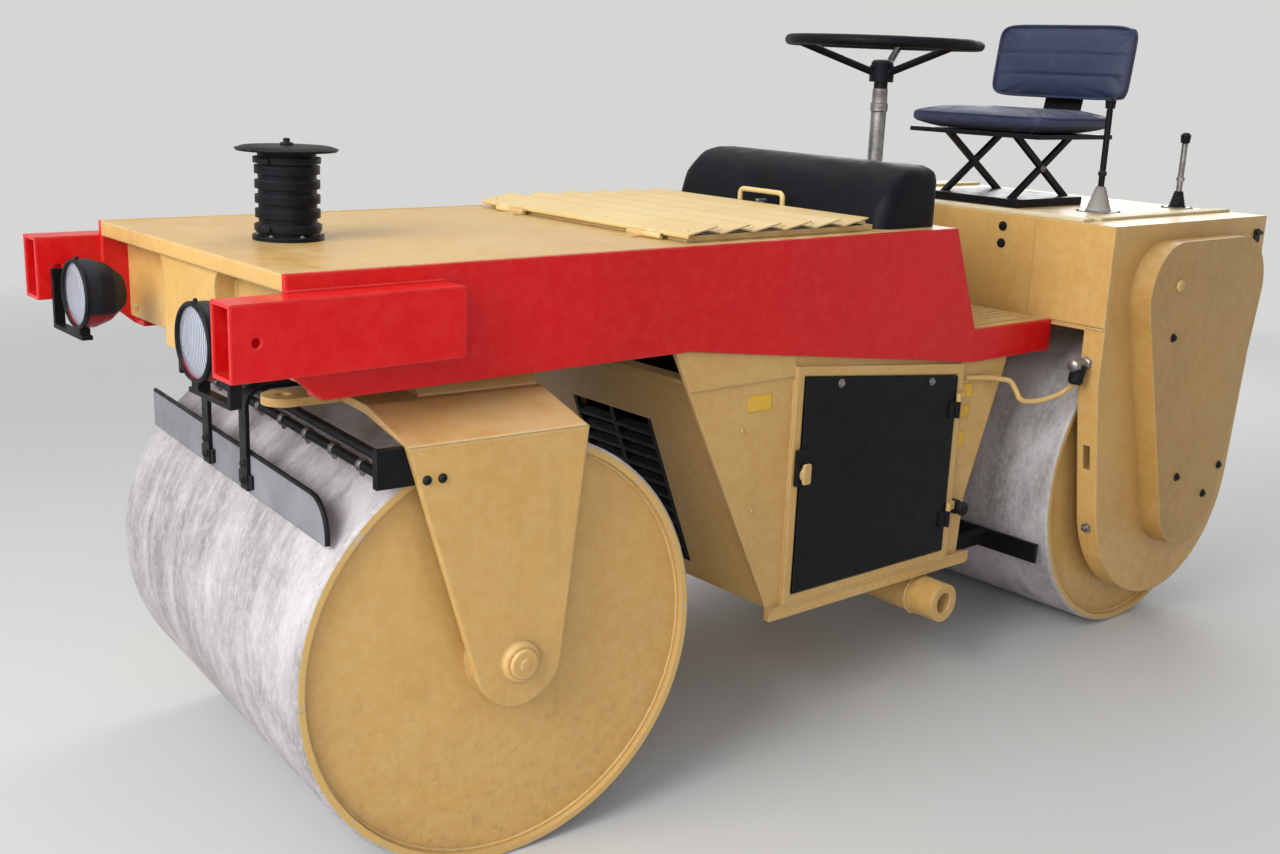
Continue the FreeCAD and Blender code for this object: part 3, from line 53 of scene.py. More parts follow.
# Places: the two axles and the front fork's own directions, turned a little to the right.
FRONT_AXLE = Vector((0.93, 0, 0.4))
REAR_AXLE = Vector((-1.07, 0, 0.4))
FORK_TURN = math.radians(-5)
FORK_AHEAD = Vector((math.cos(FORK_TURN), math.sin(FORK_TURN), 0))
FORK_LEFT = Vector((-math.sin(FORK_TURN), math.cos(FORK_TURN), 0))
UP = Vector((0, 0, 1))
LEFT = Vector((0, 1, 0))
AHEAD = Vector((1, 0, 0))
SIDES = (("left", 1), ("right", -1))

# Camera: the photograph's viewing angle, for an image of 1280 x 854 pixels.
IMAGE_WIDTH = 1280
FOCAL_PIXELS = 1426.146
SENSOR_WIDTH = 36
CAMERA_PLACE = Vector((2.3448, 2.3911, 1.4273))
CAMERA_YAW = 4.0007001
CAMERA_PITCH = 0.25058316
CAMERA_ROLL = 0.04050804


def make_camera():
    data = bpy.data.cameras.new("camera")
    data.sensor_width = SENSOR_WIDTH
    data.lens = FOCAL_PIXELS / IMAGE_WIDTH * SENSOR_WIDTH
    camera = bpy.data.objects.new("camera", data)
    bpy.context.scene.collection.objects.link(camera)
    ahead = Vector((math.cos(CAMERA_YAW) * math.cos(CAMERA_PITCH),
                    math.sin(CAMERA_YAW) * math.cos(CAMERA_PITCH), -math.sin(CAMERA_PITCH)))
    level = ahead.cross(Vector((0, 0, 1))).normalized()
    raised = level.cross(ahead)
    right = level * math.cos(CAMERA_ROLL) + raised * math.sin(CAMERA_ROLL)
    up = raised * math.cos(CAMERA_ROLL) - level * math.sin(CAMERA_ROLL)
    turned = Matrix((right, up, -ahead)).transposed()
    camera.matrix_world = Matrix.Translation(CAMERA_PLACE) @ turned.to_4x4()
    bpy.context.scene.camera = camera


make_camera()
bpy.context.scene.view_settings.view_transform = "Standard"


# Materials

def linear(red, green, blue):
    """A colour written as the eye sees it, 0 to 255, for the shader."""
    parts = [part / 255 for part in (red, green, blue)]
    return [part / 12.92 if part <= 0.04045 else ((part + 0.055) / 1.055) ** 2.4
            for part in parts] + [1.0]


class Shader:
    """A material's node tree, built by short calls."""

    def __init__(self, name):
        self.material = bpy.data.materials.new(name)
        self.material.use_nodes = True
        self.tree = self.material.node_tree
        self.surface = self.tree.nodes["Principled BSDF"]
        self.coordinates = self.add("ShaderNodeTexCoord")
        self.place = self.coordinates.outputs["Object"]

    def add(self, kind, **settings):
        node = self.tree.nodes.new(kind)
        for key, value in settings.items():
            setattr(node, key, value)
        return node

    def link(self, source, target):
        self.tree.links.new(source, target)

    def stretched(self, scale):
        node = self.add("ShaderNodeMapping")
        node.inputs["Scale"].default_value = scale
        self.link(self.place, node.inputs["Vector"])
        return node.outputs["Vector"]

    def noise(self, scale, detail=4.0, rough=0.55, stretch=None, twist=0.0):
        node = self.add("ShaderNodeTexNoise")
        node.inputs["Scale"].default_value = scale
        node.inputs["Detail"].default_value = detail
        node.inputs["Roughness"].default_value = rough
        node.inputs["Distortion"].default_value = twist
        self.link(self.stretched(stretch) if stretch else self.place, node.inputs["Vector"])
        return node.outputs["Fac"]

    def ramp(self, source, low, high, start=0.0, end=1.0):
        node = self.add("ShaderNodeMapRange", clamp=True)
        for key, value in (("From Min", low), ("From Max", high), ("To Min", start), ("To Max", end)):
            node.inputs[key].default_value = value
        self.link(source, node.inputs["Value"])
        return node.outputs["Result"]

    def maths(self, operation, first, second):
        node = self.add("ShaderNodeMath", operation=operation)
        for index, item in enumerate((first, second)):
            if isinstance(item, (int, float)):
                node.inputs[index].default_value = item
            else:
                self.link(item, node.inputs[index])
        return node.outputs["Value"]

    def mixed(self, amount, first, second):
        node = self.add("ShaderNodeMix", data_type="RGBA")
        for name, item in (("Factor", amount), ("A", first), ("B", second)):
            socket = [s for s in node.inputs if s.name == name and s.enabled][0]
            if isinstance(item, (int, float, list)):
                socket.default_value = item
            else:
                self.link(item, socket)
        return [s for s in node.outputs if s.enabled][0]

    def axis(self, source, letter):
        node = self.add("ShaderNodeSeparateXYZ")
        self.link(source, node.inputs["Vector"])
        return node.outputs[letter]

    def facing_up(self):
        return self.axis(self.coordinates.outputs["Normal"], "Z")

    def edges(self, radius):
        """1 near an outer edge of the form, 0 on flat faces, and the softened normal."""
        soft = self.add("ShaderNodeBevel", samples=3)
        soft.inputs["Radius"].default_value = radius
        sharp = self.add("ShaderNodeNewGeometry")
        dot = self.add("ShaderNodeVectorMath", operation="DOT_PRODUCT")
        self.link(soft.outputs["Normal"], dot.inputs[0])
        self.link(sharp.outputs["Normal"], dot.inputs[1])
        return self.ramp(dot.outputs["Value"], 0.995, 0.90), soft.outputs["Normal"]

    def crevice(self, reach):
        """1 deep in a corner, 0 in the open."""
        node = self.add("ShaderNodeAmbientOcclusion", samples=2)
        node.inputs["Distance"].default_value = reach
        return self.ramp(node.outputs["AO"], 0.75, 0.25)

    def bump(self, height, distance, strength=1.0, normal=None):
        node = self.add("ShaderNodeBump")
        node.inputs["Strength"].default_value = strength
        node.inputs["Distance"].default_value = distance
        self.link(height, node.inputs["Height"])
        if normal is not None:
            self.link(normal, node.inputs["Normal"])
        return node.outputs["Normal"]

    def finish(self, colour=None, roughness=None, normal=None, **constants):
        for key, item in (("Base Color", colour), ("Roughness", roughness), ("Normal", normal)):
            if item is None:
                continue
            if isinstance(item, (int, float, list)):
                self.surface.inputs[key].default_value = item
            else:
                self.link(item, self.surface.inputs[key])
        for key, value in constants.items():
            self.surface.inputs[key.replace("_", " ")].default_value = value
        return self.material


def painted(name, base, deep, pale, dust, gloss, edge_wear_and_highlight, dust_show, grime_and_shade_show=0.5, ripple=0.0004,
            gloss_level=0.4):
    """Sprayed paint on sheet steel: faint cloudiness, paler edges with small chips (rubbed wear and a painted
    highlight), runs of grime down the sides, painted shade and dirt in the corners, dust on what faces up."""
    shader = Shader(name)
    mud_and_shade = linear(98, 82, 60)
    cloud = shader.ramp(shader.noise(2.2, 5.0, 0.6), 0.35, 0.68)
    fine = shader.ramp(shader.noise(38.0, 6.0, 0.65), 0.42, 0.62)
    colour = shader.mixed(cloud, deep, base)
    colour = shader.mixed(shader.maths("MULTIPLY", fine, 0.10), colour, pale)
    upward = shader.facing_up()
    side = shader.ramp(shader.maths("ABSOLUTE", upward, 0.0), 0.7, 0.2)
    runs = shader.ramp(shader.noise(15.0, 7.0, 0.72, (1.0, 1.0, 0.10)), 0.54, 0.76)
    runs = shader.maths("MULTIPLY", shader.maths("MULTIPLY", runs, side), 0.30 * grime_and_shade_show)
    colour = shader.mixed(runs, colour, mud_and_shade)
    height = shader.ramp(shader.axis(shader.place, "Z"), 0.60, 0.04)
    spatter = shader.ramp(shader.noise(46.0, 8.0, 0.8), 0.50, 0.64)
    spatter = shader.maths("MULTIPLY", shader.maths("MULTIPLY", spatter, height), 0.55 * grime_and_shade_show)
    colour = shader.mixed(spatter, colour, mud_and_shade)
    # Corners and crevices darkened by ambient occlusion in the mud colour: painted shade, with some dirt.
    corner = shader.maths("MULTIPLY", shader.crevice(0.05), 0.55 * grime_and_shade_show)
    colour = shader.mixed(corner, colour, mud_and_shade)
    # Paler edges: partly rubbed wear, partly a painted highlight.
    rim, soft = shader.edges(0.006)
    rubbed = shader.ramp(shader.noise(22.0, 5.0, 0.7), 0.30, 0.58, 0.25, 1.0)
    rubbed = shader.maths("MULTIPLY", rim, rubbed)
    colour = shader.mixed(shader.maths("MULTIPLY", rubbed, edge_wear_and_highlight), colour, pale)
    chips = shader.ramp(shader.noise(95.0, 4.0, 0.6), 0.62, 0.66)
    chips = shader.maths("MULTIPLY", shader.maths("MULTIPLY", chips, rim), 0.75 * grime_and_shade_show)
    colour = shader.mixed(chips, colour, linear(96, 74, 58))
    lying = shader.ramp(upward, 0.3, 1.0)
    powder = shader.ramp(shader.noise(8.0, 7.0, 0.72, twist=0.5), 0.36, 0.68)
    layer = shader.maths("MULTIPLY", shader.maths("ADD", shader.maths("MULTIPLY", lying, 0.8), 0.2), powder)
    layer = shader.maths("MULTIPLY", layer, dust_show)
    colour = shader.mixed(layer, colour, dust)
    rough = shader.maths("ADD", shader.maths("MULTIPLY", layer, 0.5),
                         shader.ramp(shader.noise(14.0, 4.0), 0.3, 0.7, gloss, gloss + 0.14))
    rough = shader.maths("ADD", rough, shader.maths("MULTIPLY", spatter, 0.4))
    normal = shader.bump(shader.noise(240.0, 3.0, 0.5), ripple, 0.35, soft)
    normal = shader.bump(shader.noise(6.0, 2.0, 0.4), 0.003, 0.25, normal)
    normal = shader.bump(chips, -0.0004, 0.6, normal)
    return shader.finish(colour, rough, normal, Specular_IOR_Level=gloss_level, Coat_Weight=0.1,
                         Coat_Roughness=0.2)


def bare_metal(name, base, deep, rust, rust_show, gloss):
    """Worn steel with brushing and light rust."""
    shader = Shader(name)
    streak = shader.ramp(shader.noise(60.0, 5.0, 0.7, (1.0, 0.15, 1.0)), 0.3, 0.7)
    colour = shader.mixed(streak, deep, base)
    spots = shader.ramp(shader.noise(18.0, 7.0, 0.75), 0.52, 0.66)
    colour = shader.mixed(shader.maths("MULTIPLY", spots, rust_show), colour, rust)
    _, soft = shader.edges(0.0015)
    rough = shader.maths("ADD", shader.maths("MULTIPLY", spots, 0.35),
                         shader.ramp(streak, 0.0, 1.0, gloss, gloss + 0.15))
    normal = shader.bump(shader.noise(220.0, 4.0, 0.6), 0.0004, 0.4, soft)
    return shader.finish(colour, rough, normal, Metallic=0.85)


def rolled_steel(name, rim_colour, centre, axis):
    """The drums' shells: pale and dusty, blotched and scuffed by the ground, faint rust and dark
    marks, with paint worn off the rims' outer faces."""
    shader = Shader(name)
    blotch = shader.noise(4.2, 9.0, 0.66, (1.0, 1.5, 1.0), 0.35)
    colour = shader.mixed(shader.ramp(blotch, 0.38, 0.62), linear(136, 131, 131), linear(184, 179, 181))
    band = shader.noise(1.0, 5.0, 0.6, (1.6, 26.0, 1.6))
    colour = shader.mixed(shader.ramp(band, 0.42, 0.66, 0.0, 0.30), colour, linear(212, 207, 209))
    fine = shader.noise(52.0, 8.0, 0.75, (1.0, 1.8, 1.0))
    colour = shader.mixed(shader.ramp(fine, 0.47, 0.62, 0.0, 0.4), colour, linear(206, 202, 203))
    pits = shader.ramp(shader.noise(130.0, 5.0, 0.7), 0.58, 0.66)
    colour = shader.mixed(shader.maths("MULTIPLY", pits, 0.35), colour, linear(108, 100, 96))
    marks = shader.ramp(shader.noise(13.0, 9.0, 0.8, (0.7, 1.5, 0.7), 0.5), 0.57, 0.67)
    colour = shader.mixed(shader.maths("MULTIPLY", marks, 0.45), colour, linear(122, 114, 110))
    rust = shader.ramp(shader.noise(6.5, 9.0, 0.8), 0.58, 0.70)
    colour = shader.mixed(shader.maths("MULTIPLY", rust, 0.30), colour, linear(150, 124, 104))
    out = shader.maths("ABSOLUTE", shader.axis(shader.coordinates.outputs["Normal"], "Y"), 0.0)
    kept = shader.ramp(shader.noise(30.0, 7.0, 0.75), 0.66, 0.58)
    away = shader.add("ShaderNodeVectorMath", operation="SUBTRACT")
    shader.link(shader.place, away.inputs[0])
    away.inputs[1].default_value = centre
    turned = shader.add("ShaderNodeVectorMath", operation="CROSS_PRODUCT")
    shader.link(away.outputs["Vector"], turned.inputs[0])
    turned.inputs[1].default_value = axis
    reach = shader.add("ShaderNodeVectorMath", operation="LENGTH")
    shader.link(turned.outputs["Vector"], reach.inputs[0])
    inside = shader.ramp(reach.outputs["Value"], 0.391, 0.387)
    painted_rim = shader.maths("MAXIMUM", shader.ramp(out, 0.80, 0.92), inside)
    painted_rim = shader.maths("MULTIPLY", painted_rim, kept)
    colour = shader.mixed(painted_rim, colour, rim_colour)
    # A pale line along every edge of the shell: a painted highlight.
    rim, soft = shader.edges(0.004)
    colour = shader.mixed(shader.maths("MULTIPLY", rim, 0.35), colour, linear(212, 204, 192))
    rough = shader.ramp(blotch, 0.3, 0.7, 0.55, 0.8)
    normal = shader.bump(shader.noise(90.0, 6.0, 0.7), 0.0010, 0.5, soft)
    normal = shader.bump(pits, -0.0004, 0.5, normal)
    normal = shader.bump(blotch, 0.002, 0.3, normal)
    return shader.finish(colour, rough, normal, Metallic=0.1)


def moulded(name, base, pale, rough_low, grain, dust_show=0.08, gloss_level=0.14, low_colour=None, low_edge=0.0):
    """Dark moulded plastic or satin black paint with a fine grain, rubbed edges and some dust.
    low_colour: the paint of what lies under low_edge."""
    shader = Shader(name)
    cloud = shader.ramp(shader.noise(6.0, 5.0, 0.6), 0.35, 0.7)
    colour = shader.mixed(cloud, base, pale)
    if low_colour:
        under = shader.ramp(shader.axis(shader.place, "Z"), low_edge + 0.002, low_edge - 0.002)
        colour = shader.mixed(under, colour, low_colour)
    lying = shader.ramp(shader.facing_up(), 0.2, 1.0, 0.2, 1.0)
    powder = shader.ramp(shader.noise(16.0, 7.0, 0.75), 0.45, 0.72)
    layer = shader.maths("MULTIPLY", shader.maths("MULTIPLY", lying, powder), dust_show)
    colour = shader.mixed(layer, colour, linear(120, 116, 110))
    rim, soft = shader.edges(0.003)
    rubbed = shader.maths("MULTIPLY", rim, shader.ramp(shader.noise(40.0, 5.0, 0.7), 0.40, 0.62, 0.1, 0.5))
    colour = shader.mixed(rubbed, colour, linear(86, 86, 90))
    rough = shader.ramp(shader.noise(30.0, 4.0), 0.3, 0.7, rough_low, rough_low + 0.18)
    normal = shader.bump(shader.noise(grain, 3.0, 0.6), 0.0006, 0.5, soft)
    return shader.finish(colour, rough, normal, Specular_IOR_Level=gloss_level)


def vinyl(name, base, deep):
    """Seat vinyl: a pebbled grain, soft folds and a slight sheen."""
    shader = Shader(name)
    cells = shader.add("ShaderNodeTexVoronoi", feature="DISTANCE_TO_EDGE")
    cells.inputs["Scale"].default_value = 340.0
    shader.link(shader.place, cells.inputs["Vector"])
    grain = shader.ramp(cells.outputs["Distance"], 0.0, 0.12)
    folds = shader.noise(7.0, 5.0, 0.6, twist=1.0)
    colour = shader.mixed(shader.ramp(folds, 0.3, 0.7), deep, base)
    scuff = shader.ramp(shader.noise(14.0, 8.0, 0.75), 0.55, 0.75)
    colour = shader.mixed(shader.maths("MULTIPLY", scuff, 0.22), colour, linear(104, 110, 126))
    rough = shader.ramp(folds, 0.3, 0.7, 0.42, 0.6)
    normal = shader.bump(grain, 0.0004, 0.5)
    normal = shader.bump(folds, 0.004, 0.35, normal)
    return shader.finish(colour, rough, normal, Sheen_Weight=0.1, Specular_IOR_Level=0.35)


def lamp_glass(name):
    """Pressed lamp glass: fine upright flutes over a dull reflector."""
    shader = Shader(name)
    wave = shader.add("ShaderNodeTexWave", bands_direction="Y")
    wave.inputs["Scale"].default_value = 58.0
    shader.link(shader.place, wave.inputs["Vector"])
    colour = shader.mixed(shader.ramp(wave.outputs["Fac"], 0.2, 0.8), linear(112, 118, 134),
                          linear(170, 175, 190))
    film = shader.ramp(shader.noise(30.0, 6.0, 0.7), 0.4, 0.7, 0.0, 0.35)
    colour = shader.mixed(film, colour, linear(150, 144, 136))
    normal = shader.bump(wave.outputs["Fac"], 0.002, 0.6)
    return shader.finish(colour, 0.14, normal, Coat_Weight=0.6, Coat_Roughness=0.06)


def dial_face(name):
    """A gauge's dark face under a clear coat; its pale tick marks are pieces of their own."""
    shader = Shader(name)
    noise = shader.ramp(shader.noise(60.0, 4.0), 0.3, 0.7)
    colour = shader.mixed(noise, linear(24, 25, 28), linear(34, 35, 38))
    return shader.finish(colour, 0.35, None, Coat_Weight=0.7, Coat_Roughness=0.05)


def reflector(name):
    """Red moulded reflector: a fine grid of prisms under a clear face."""
    shader = Shader(name)
    cells = shader.add("ShaderNodeTexVoronoi", feature="DISTANCE_TO_EDGE")
    cells.inputs["Scale"].default_value = 320.0
    cells.inputs["Randomness"].default_value = 0.0
    shader.link(shader.place, cells.inputs["Vector"])
    grid = shader.ramp(cells.outputs["Distance"], 0.02, 0.3)
    colour = shader.mixed(grid, linear(96, 6, 8), linear(178, 16, 18))
    return shader.finish(colour, 0.2, shader.bump(grid, 0.0006, 0.6), Coat_Weight=0.8, Coat_Roughness=0.04)


TAN_BASE = linear(205, 163, 92)
TAN_DEEP = linear(194, 150, 82)
TAN_PALE = linear(238, 212, 156)
BLACK = linear(11, 11, 14)
BLACK_PALE = linear(17, 18, 22)
LAMP_SPLIT = 0.938
MATERIALS = {
    "paint_tan": painted("paint_tan", TAN_BASE, TAN_DEEP, TAN_PALE, linear(206, 190, 152), 0.30, 0.75, 0.42),
    # A darker copy of the tan paint for the rear case covers: painted shade, as their sides lie away from the light.
    "shaded_case_paint": painted("shaded_case_paint", linear(184, 142, 74), linear(168, 127, 64), linear(226, 196, 136),
                          linear(196, 178, 138), 0.30, 0.75, 0.42),
    "paint_red": painted("paint_red", linear(212, 6, 12), linear(197, 4, 10), linear(240, 84, 80),
                         linear(180, 70, 62), 0.26, 0.7, 0.06, 0.3, gloss_level=0.25),
    # A lighter copy of the tan paint for the engine lid and a few small parts: painted light from above.
    "lit_louvre_paint": painted("lit_louvre_paint", linear(222, 190, 122), linear(210, 174, 106), linear(246, 228, 178),
                            linear(216, 202, 164), 0.30, 0.8, 0.42),
    "black_paint": moulded("black_paint", BLACK, BLACK_PALE, 0.34, 300.0),
    "bare_steel": bare_metal("bare_steel", linear(158, 157, 156), linear(104, 102, 100),
                             linear(120, 84, 58), 0.35, 0.3),
    "drum_steel": rolled_steel("drum_steel", linear(204, 166, 98), FRONT_AXLE, FORK_LEFT),
    "drum_steel_rear": rolled_steel("drum_steel_rear", linear(204, 166, 98), REAR_AXLE, LEFT),
    "blade_grey": moulded("blade_grey", linear(112, 113, 117), linear(138, 139, 142), 0.46, 260.0, 0.35),
    "black_plastic": moulded("black_plastic", linear(9, 9, 14), linear(15, 16, 24), 0.38, 520.0, 0.04, 0.12),
    "engine_iron": bare_metal("engine_iron", linear(70, 70, 68), linear(44, 44, 43),
                              linear(84, 66, 52), 0.3, 0.5),
    "lamp_glass": lamp_glass("lamp_glass"),
    "tread_rubber": painted("tread_rubber", linear(232, 218, 178), linear(216, 200, 158),
                            linear(244, 236, 208), linear(190, 176, 146), 0.7, 0.3, 0.5, 0.5, 0.0012),
    "seat_vinyl": vinyl("seat_vinyl", linear(43, 52, 84), linear(31, 38, 66)),
    "lamp_body": moulded("lamp_body", linear(24, 25, 32), linear(36, 38, 46), 0.30, 300.0,
                         low_colour=linear(128, 20, 24), low_edge=LAMP_SPLIT),
    "boot_rubber": moulded("boot_rubber", linear(132, 128, 126), linear(168, 164, 160), 0.6, 420.0, 0.3),
    "label_yellow": painted("label_yellow", linear(226, 178, 48), linear(212, 160, 36),
                            linear(244, 214, 130), linear(190, 160, 90), 0.4, 0.3, 0.3),
    "wire_rubber": moulded("wire_rubber", linear(14, 14, 16), linear(24, 24, 27), 0.55, 500.0, 0.25),
    "dial_face": dial_face("dial_face"),
    "reflector_red": reflector("reflector_red"),
    "dial_mark": painted("dial_mark", linear(214, 214, 208), linear(200, 200, 194),
                         linear(232, 232, 228), linear(180, 176, 166), 0.4, 0.1, 0.1),
}
SLOT_OF = {item["node"]: item["material_slot"] for item in frame["record"]["subparts"]}
OWN_FINISH = {"headlamps": "lamp_body", "cover_handle": "lit_louvre_paint", "scraper_blade": "blade_grey",
              "rear_drum_shell": "drum_steel_rear", "case_cover_left": "shaded_case_paint",
              "case_cover_right": "shaded_case_paint"}
for node, item in NODES.items():
    item.data.materials.clear()
    item.data.materials.append(MATERIALS[OWN_FINISH.get(node, SLOT_OF[node])])


# Making pieces

SHARP = math.radians(38)
SINK = 0.001


def new_piece(name, source, material, body):
    """Finish a bmesh as a named piece that rides on a body."""
    mesh = bpy.data.meshes.new(name)
    bmesh.ops.recalc_face_normals(source, faces=source.faces)
    source.to_mesh(mesh)
    source.free()
    mesh.materials.append(MATERIALS[material])
    mesh.shade_smooth()
    mesh.set_sharp_from_angle(angle=SHARP)
    piece = bpy.data.objects.new(name, mesh)
    bpy.context.scene.collection.objects.link(piece)
    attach(piece, body)
    return piece


TREES = {}


def surface(node, place, direction, reach=0.5):
    """The point of the node's surface under the place, looking against the direction."""
    if node not in TREES:
        mesh = NODES[node].data
        TREES[node] = BVHTree.FromPolygons([vert.co for vert in mesh.vertices],
                                           [face.vertices[:] for face in mesh.polygons])
    out = Vector(direction).normalized()
    spot = TREES[node].ray_cast(Vector(place) + out * reach, -out)[0]
    if spot is None:
        raise ValueError(f"nothing of {node} under {tuple(place)}")
    return spot


def facing(direction):
    """A turn that takes +Z to the direction."""
    return Vector((0, 0, 1)).rotation_difference(Vector(direction).normalized()).to_matrix().to_4x4()


def bridge(target, lower, upper):
    """Faces between two rings of vertices, either of which may be a single point."""
    count = max(len(lower), len(upper))
    for step in range(count):
        after = (step + 1) % count
        corners = [lower[step % len(lower)], lower[after % len(lower)],
                   upper[after % len(upper)], upper[step % len(upper)]]
        face = [corner for index, corner in enumerate(corners) if corner not in corners[:index]]
        if len(face) > 2:
            target.faces.new(face)


def add_revolved(target, profile, place, direction, steps=24, turn=0.0):
    """Turn a profile of (radius, height) round the direction."""
    matrix = Matrix.Translation(place) @ facing(direction) @ Matrix.Rotation(turn, 4, "Z")
    rings = []
    for radius, height in profile:
        count = steps if radius else 1
        rings.append([target.verts.new(matrix @ Vector((radius * math.cos(math.tau * step / steps),
                                                        radius * math.sin(math.tau * step / steps), height)))
                      for step in range(count)])
    for lower, upper in zip(rings, rings[1:]):
        bridge(target, lower, upper)


def add_disc(target, place, direction, radius, thick, bevel, steps=24, turn=0.0):
    add_revolved(target, [(0, -SINK), (radius, -SINK), (radius, thick - bevel), (radius - bevel, thick),
                          (0, thick)], place, direction, steps, turn)


def add_bolt(target, place, direction, radius):
    """A washer and a hexagon head."""
    add_disc(target, place, direction, radius * 1.5, radius * 0.3, radius * 0.08, 20)
    turn = (place[0] * 37.0 + place[2] * 19.0) % 1.0
    add_disc(target, place, direction, radius, radius * 1.05, radius * 0.14, 6, turn)


def add_plate(target, place, direction, up, width, height, thick, corner, bevel=0.0):
    """A plate with round corners; its back is sunk a little into what carries it."""
    out = Vector(direction).normalized()
    tall = Vector(up)
    tall = (tall - out * tall.dot(out)).normalized()
    across = tall.cross(out)
    rings = []
    for shrink, level in ((0.0, -SINK), (0.0, thick - bevel), (bevel, thick)):
        ring = []
        for quarter, (right, top) in enumerate(((1, 1), (-1, 1), (-1, -1), (1, -1))):
            for step in range(5):
                angle = (quarter + step / 4) * math.pi / 2
                reach = max(corner - shrink, 0.0001)
                ring.append(target.verts.new(
                    Vector(place) + across * (right * (width / 2 - corner) + reach * math.cos(angle))
                    + tall * (top * (height / 2 - corner) + reach * math.sin(angle)) + out * level))
        rings.append(ring)
    for lower, upper in zip(rings, rings[1:]):
        bridge(target, lower, upper)
    target.faces.new(rings[0])
    target.faces.new(rings[-1])


def add_prism(target, outline, right, left):
    """A solid with an outline in X and Z, between two places across the machine."""
    rows = [[target.verts.new((x, out, z)) for x, z in outline] for out in (right, left)]
    bridge(target, rows[0], rows[1])
    for row in rows:
        target.faces.new(row)


def smooth_line(points, steps=8):
    """A Catmull-Rom line through the points."""
    points = [Vector(point) for point in points]
    padded = [points[0] * 2 - points[1]] + points + [points[-1] * 2 - points[-2]]
    line = []
    for index in range(1, len(padded) - 2):
        before, first, second, after = padded[index - 1:index + 3]
        for step in range(steps):
            t = step / steps
            line.append(0.5 * (2 * first + (second - before) * t
                               + (2 * before - 5 * first + 4 * second - after) * t ** 2
                               + (3 * first - before - 3 * second + after) * t ** 3))
    return line + [points[-1]]


def tube_along(name, points, radius, material, body, closed=False, sides=8, radii=None):
    """A round bead or rod along the points."""
    curve = bpy.data.curves.new(name, "CURVE")
    curve.dimensions = "3D"
    curve.bevel_depth = radius
    curve.bevel_resolution = max(1, sides // 4)
    spline = curve.splines.new("POLY")
    spline.points.add(len(points) - 1)
    for index, place in enumerate(points):
        spline.points[index].co = (*place, 1.0)
        spline.points[index].radius = radii[index] if radii else 1.0
    spline.use_cyclic_u = closed
    curve.use_fill_caps = True
    maker = bpy.data.objects.new(name + "_line", curve)
    bpy.context.scene.collection.objects.link(maker)
    bpy.context.view_layer.update()
    mesh = bpy.data.meshes.new_from_object(maker.evaluated_get(bpy.context.evaluated_depsgraph_get()))
    mesh.name = name
    bpy.data.objects.remove(maker)
    mesh.materials.clear()
    mesh.materials.append(MATERIALS[material])
    mesh.shade_smooth()
    piece = bpy.data.objects.new(name, mesh)
    bpy.context.scene.collection.objects.link(piece)
    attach(piece, body)
    return piece


WELD_STEP = 0.006
chance = random.Random(11)


def weld(name, points, radius, material, body, closed=False):
    """A weld bead: its ripples swell and shrink along a broken line."""
    points = [Vector(point) for point in points]
    ends = points[1:] + points[:1] if closed else points[1:]
    line = []
    for first, second in zip(points, ends):
        count = max(1, round((second - first).length / WELD_STEP))
        line += [first.lerp(second, step / count) for step in range(count)]
    if not closed:
        line.append(points[-1])
    radii = [1.0 + (0.16 if index % 2 else -0.10) + chance.uniform(-0.08, 0.08)
             for index in range(len(line))]
    return tube_along(name, line, radius, material, body, closed, 6, radii)


def circle(centre, direction, radius, count):
    matrix = Matrix.Translation(centre) @ facing(direction)
    return [matrix @ Vector((radius * math.cos(math.tau * step / count),
                             radius * math.sin(math.tau * step / count), 0)) for step in range(count)]


def yoke(ahead, left, high):
    """A place on the turned fork, from the front axle's middle above the ground."""
    return Vector((FRONT_AXLE.x, 0, high)) + FORK_AHEAD * ahead + FORK_LEFT * left


# Seat: vinyl cushions blown up by cloth simulation, then piping and sewn channels

VOXEL = 0.0055
BLOW_FRAMES = 20
BLOW_PRESSURE = 4.0
BLOW_CAP = 0.022
WALL_SHARE = 0.4


def remeshed(piece):
    """The piece's mesh remade of even voxels."""
    maker = piece.modifiers.new("even", "REMESH")
    maker.mode = "VOXEL"
    maker.voxel_size = VOXEL
    bpy.context.view_layer.update()
    mesh = bpy.data.meshes.new_from_object(piece.evaluated_get(bpy.context.evaluated_depsgraph_get()))
    piece.modifiers.remove(maker)
    old = piece.data
    piece.data = mesh
    mesh.name = piece.name
    bpy.data.meshes.remove(old)


def blown(piece, low, high, origin, out):
    """Blow the pad up like a cushion, inside the box from low to high. Its side walls are held."""
    rest = [vert.co.copy() for vert in piece.data.vertices]
    levels = [abs((place - origin).dot(out)) for place in rest]
    walls = piece.vertex_groups.new(name="walls")
    walls.add([index for index, level in enumerate(levels) if level < WALL_SHARE * max(levels)], 1.0, "REPLACE")
    cloth = piece.modifiers.new("cloth", "CLOTH")
    cloth.settings.quality = 5
    cloth.settings.use_pressure = True
    cloth.settings.uniform_pressure_force = BLOW_PRESSURE
    cloth.settings.effector_weights.gravity = 0
    cloth.settings.vertex_group_mass = "walls"
    cloth.point_cache.frame_start = 1
    cloth.point_cache.frame_end = BLOW_FRAMES
    for step in range(1, BLOW_FRAMES + 1):
        bpy.context.scene.frame_set(step)
    shaped = piece.evaluated_get(bpy.context.evaluated_depsgraph_get()).data
    moved = [vert.co.copy() for vert in shaped.vertices]
    piece.modifiers.remove(cloth)
    piece.vertex_groups.clear()
    bpy.context.scene.frame_set(1)
    for vert, start, end in zip(piece.data.vertices, rest, moved):
        move = end - start
        if move.length > BLOW_CAP:
            move = move.normalized() * BLOW_CAP
        place = start + move
        vert.co = [min(max(place[axis], low[axis]), high[axis]) for axis in range(3)]


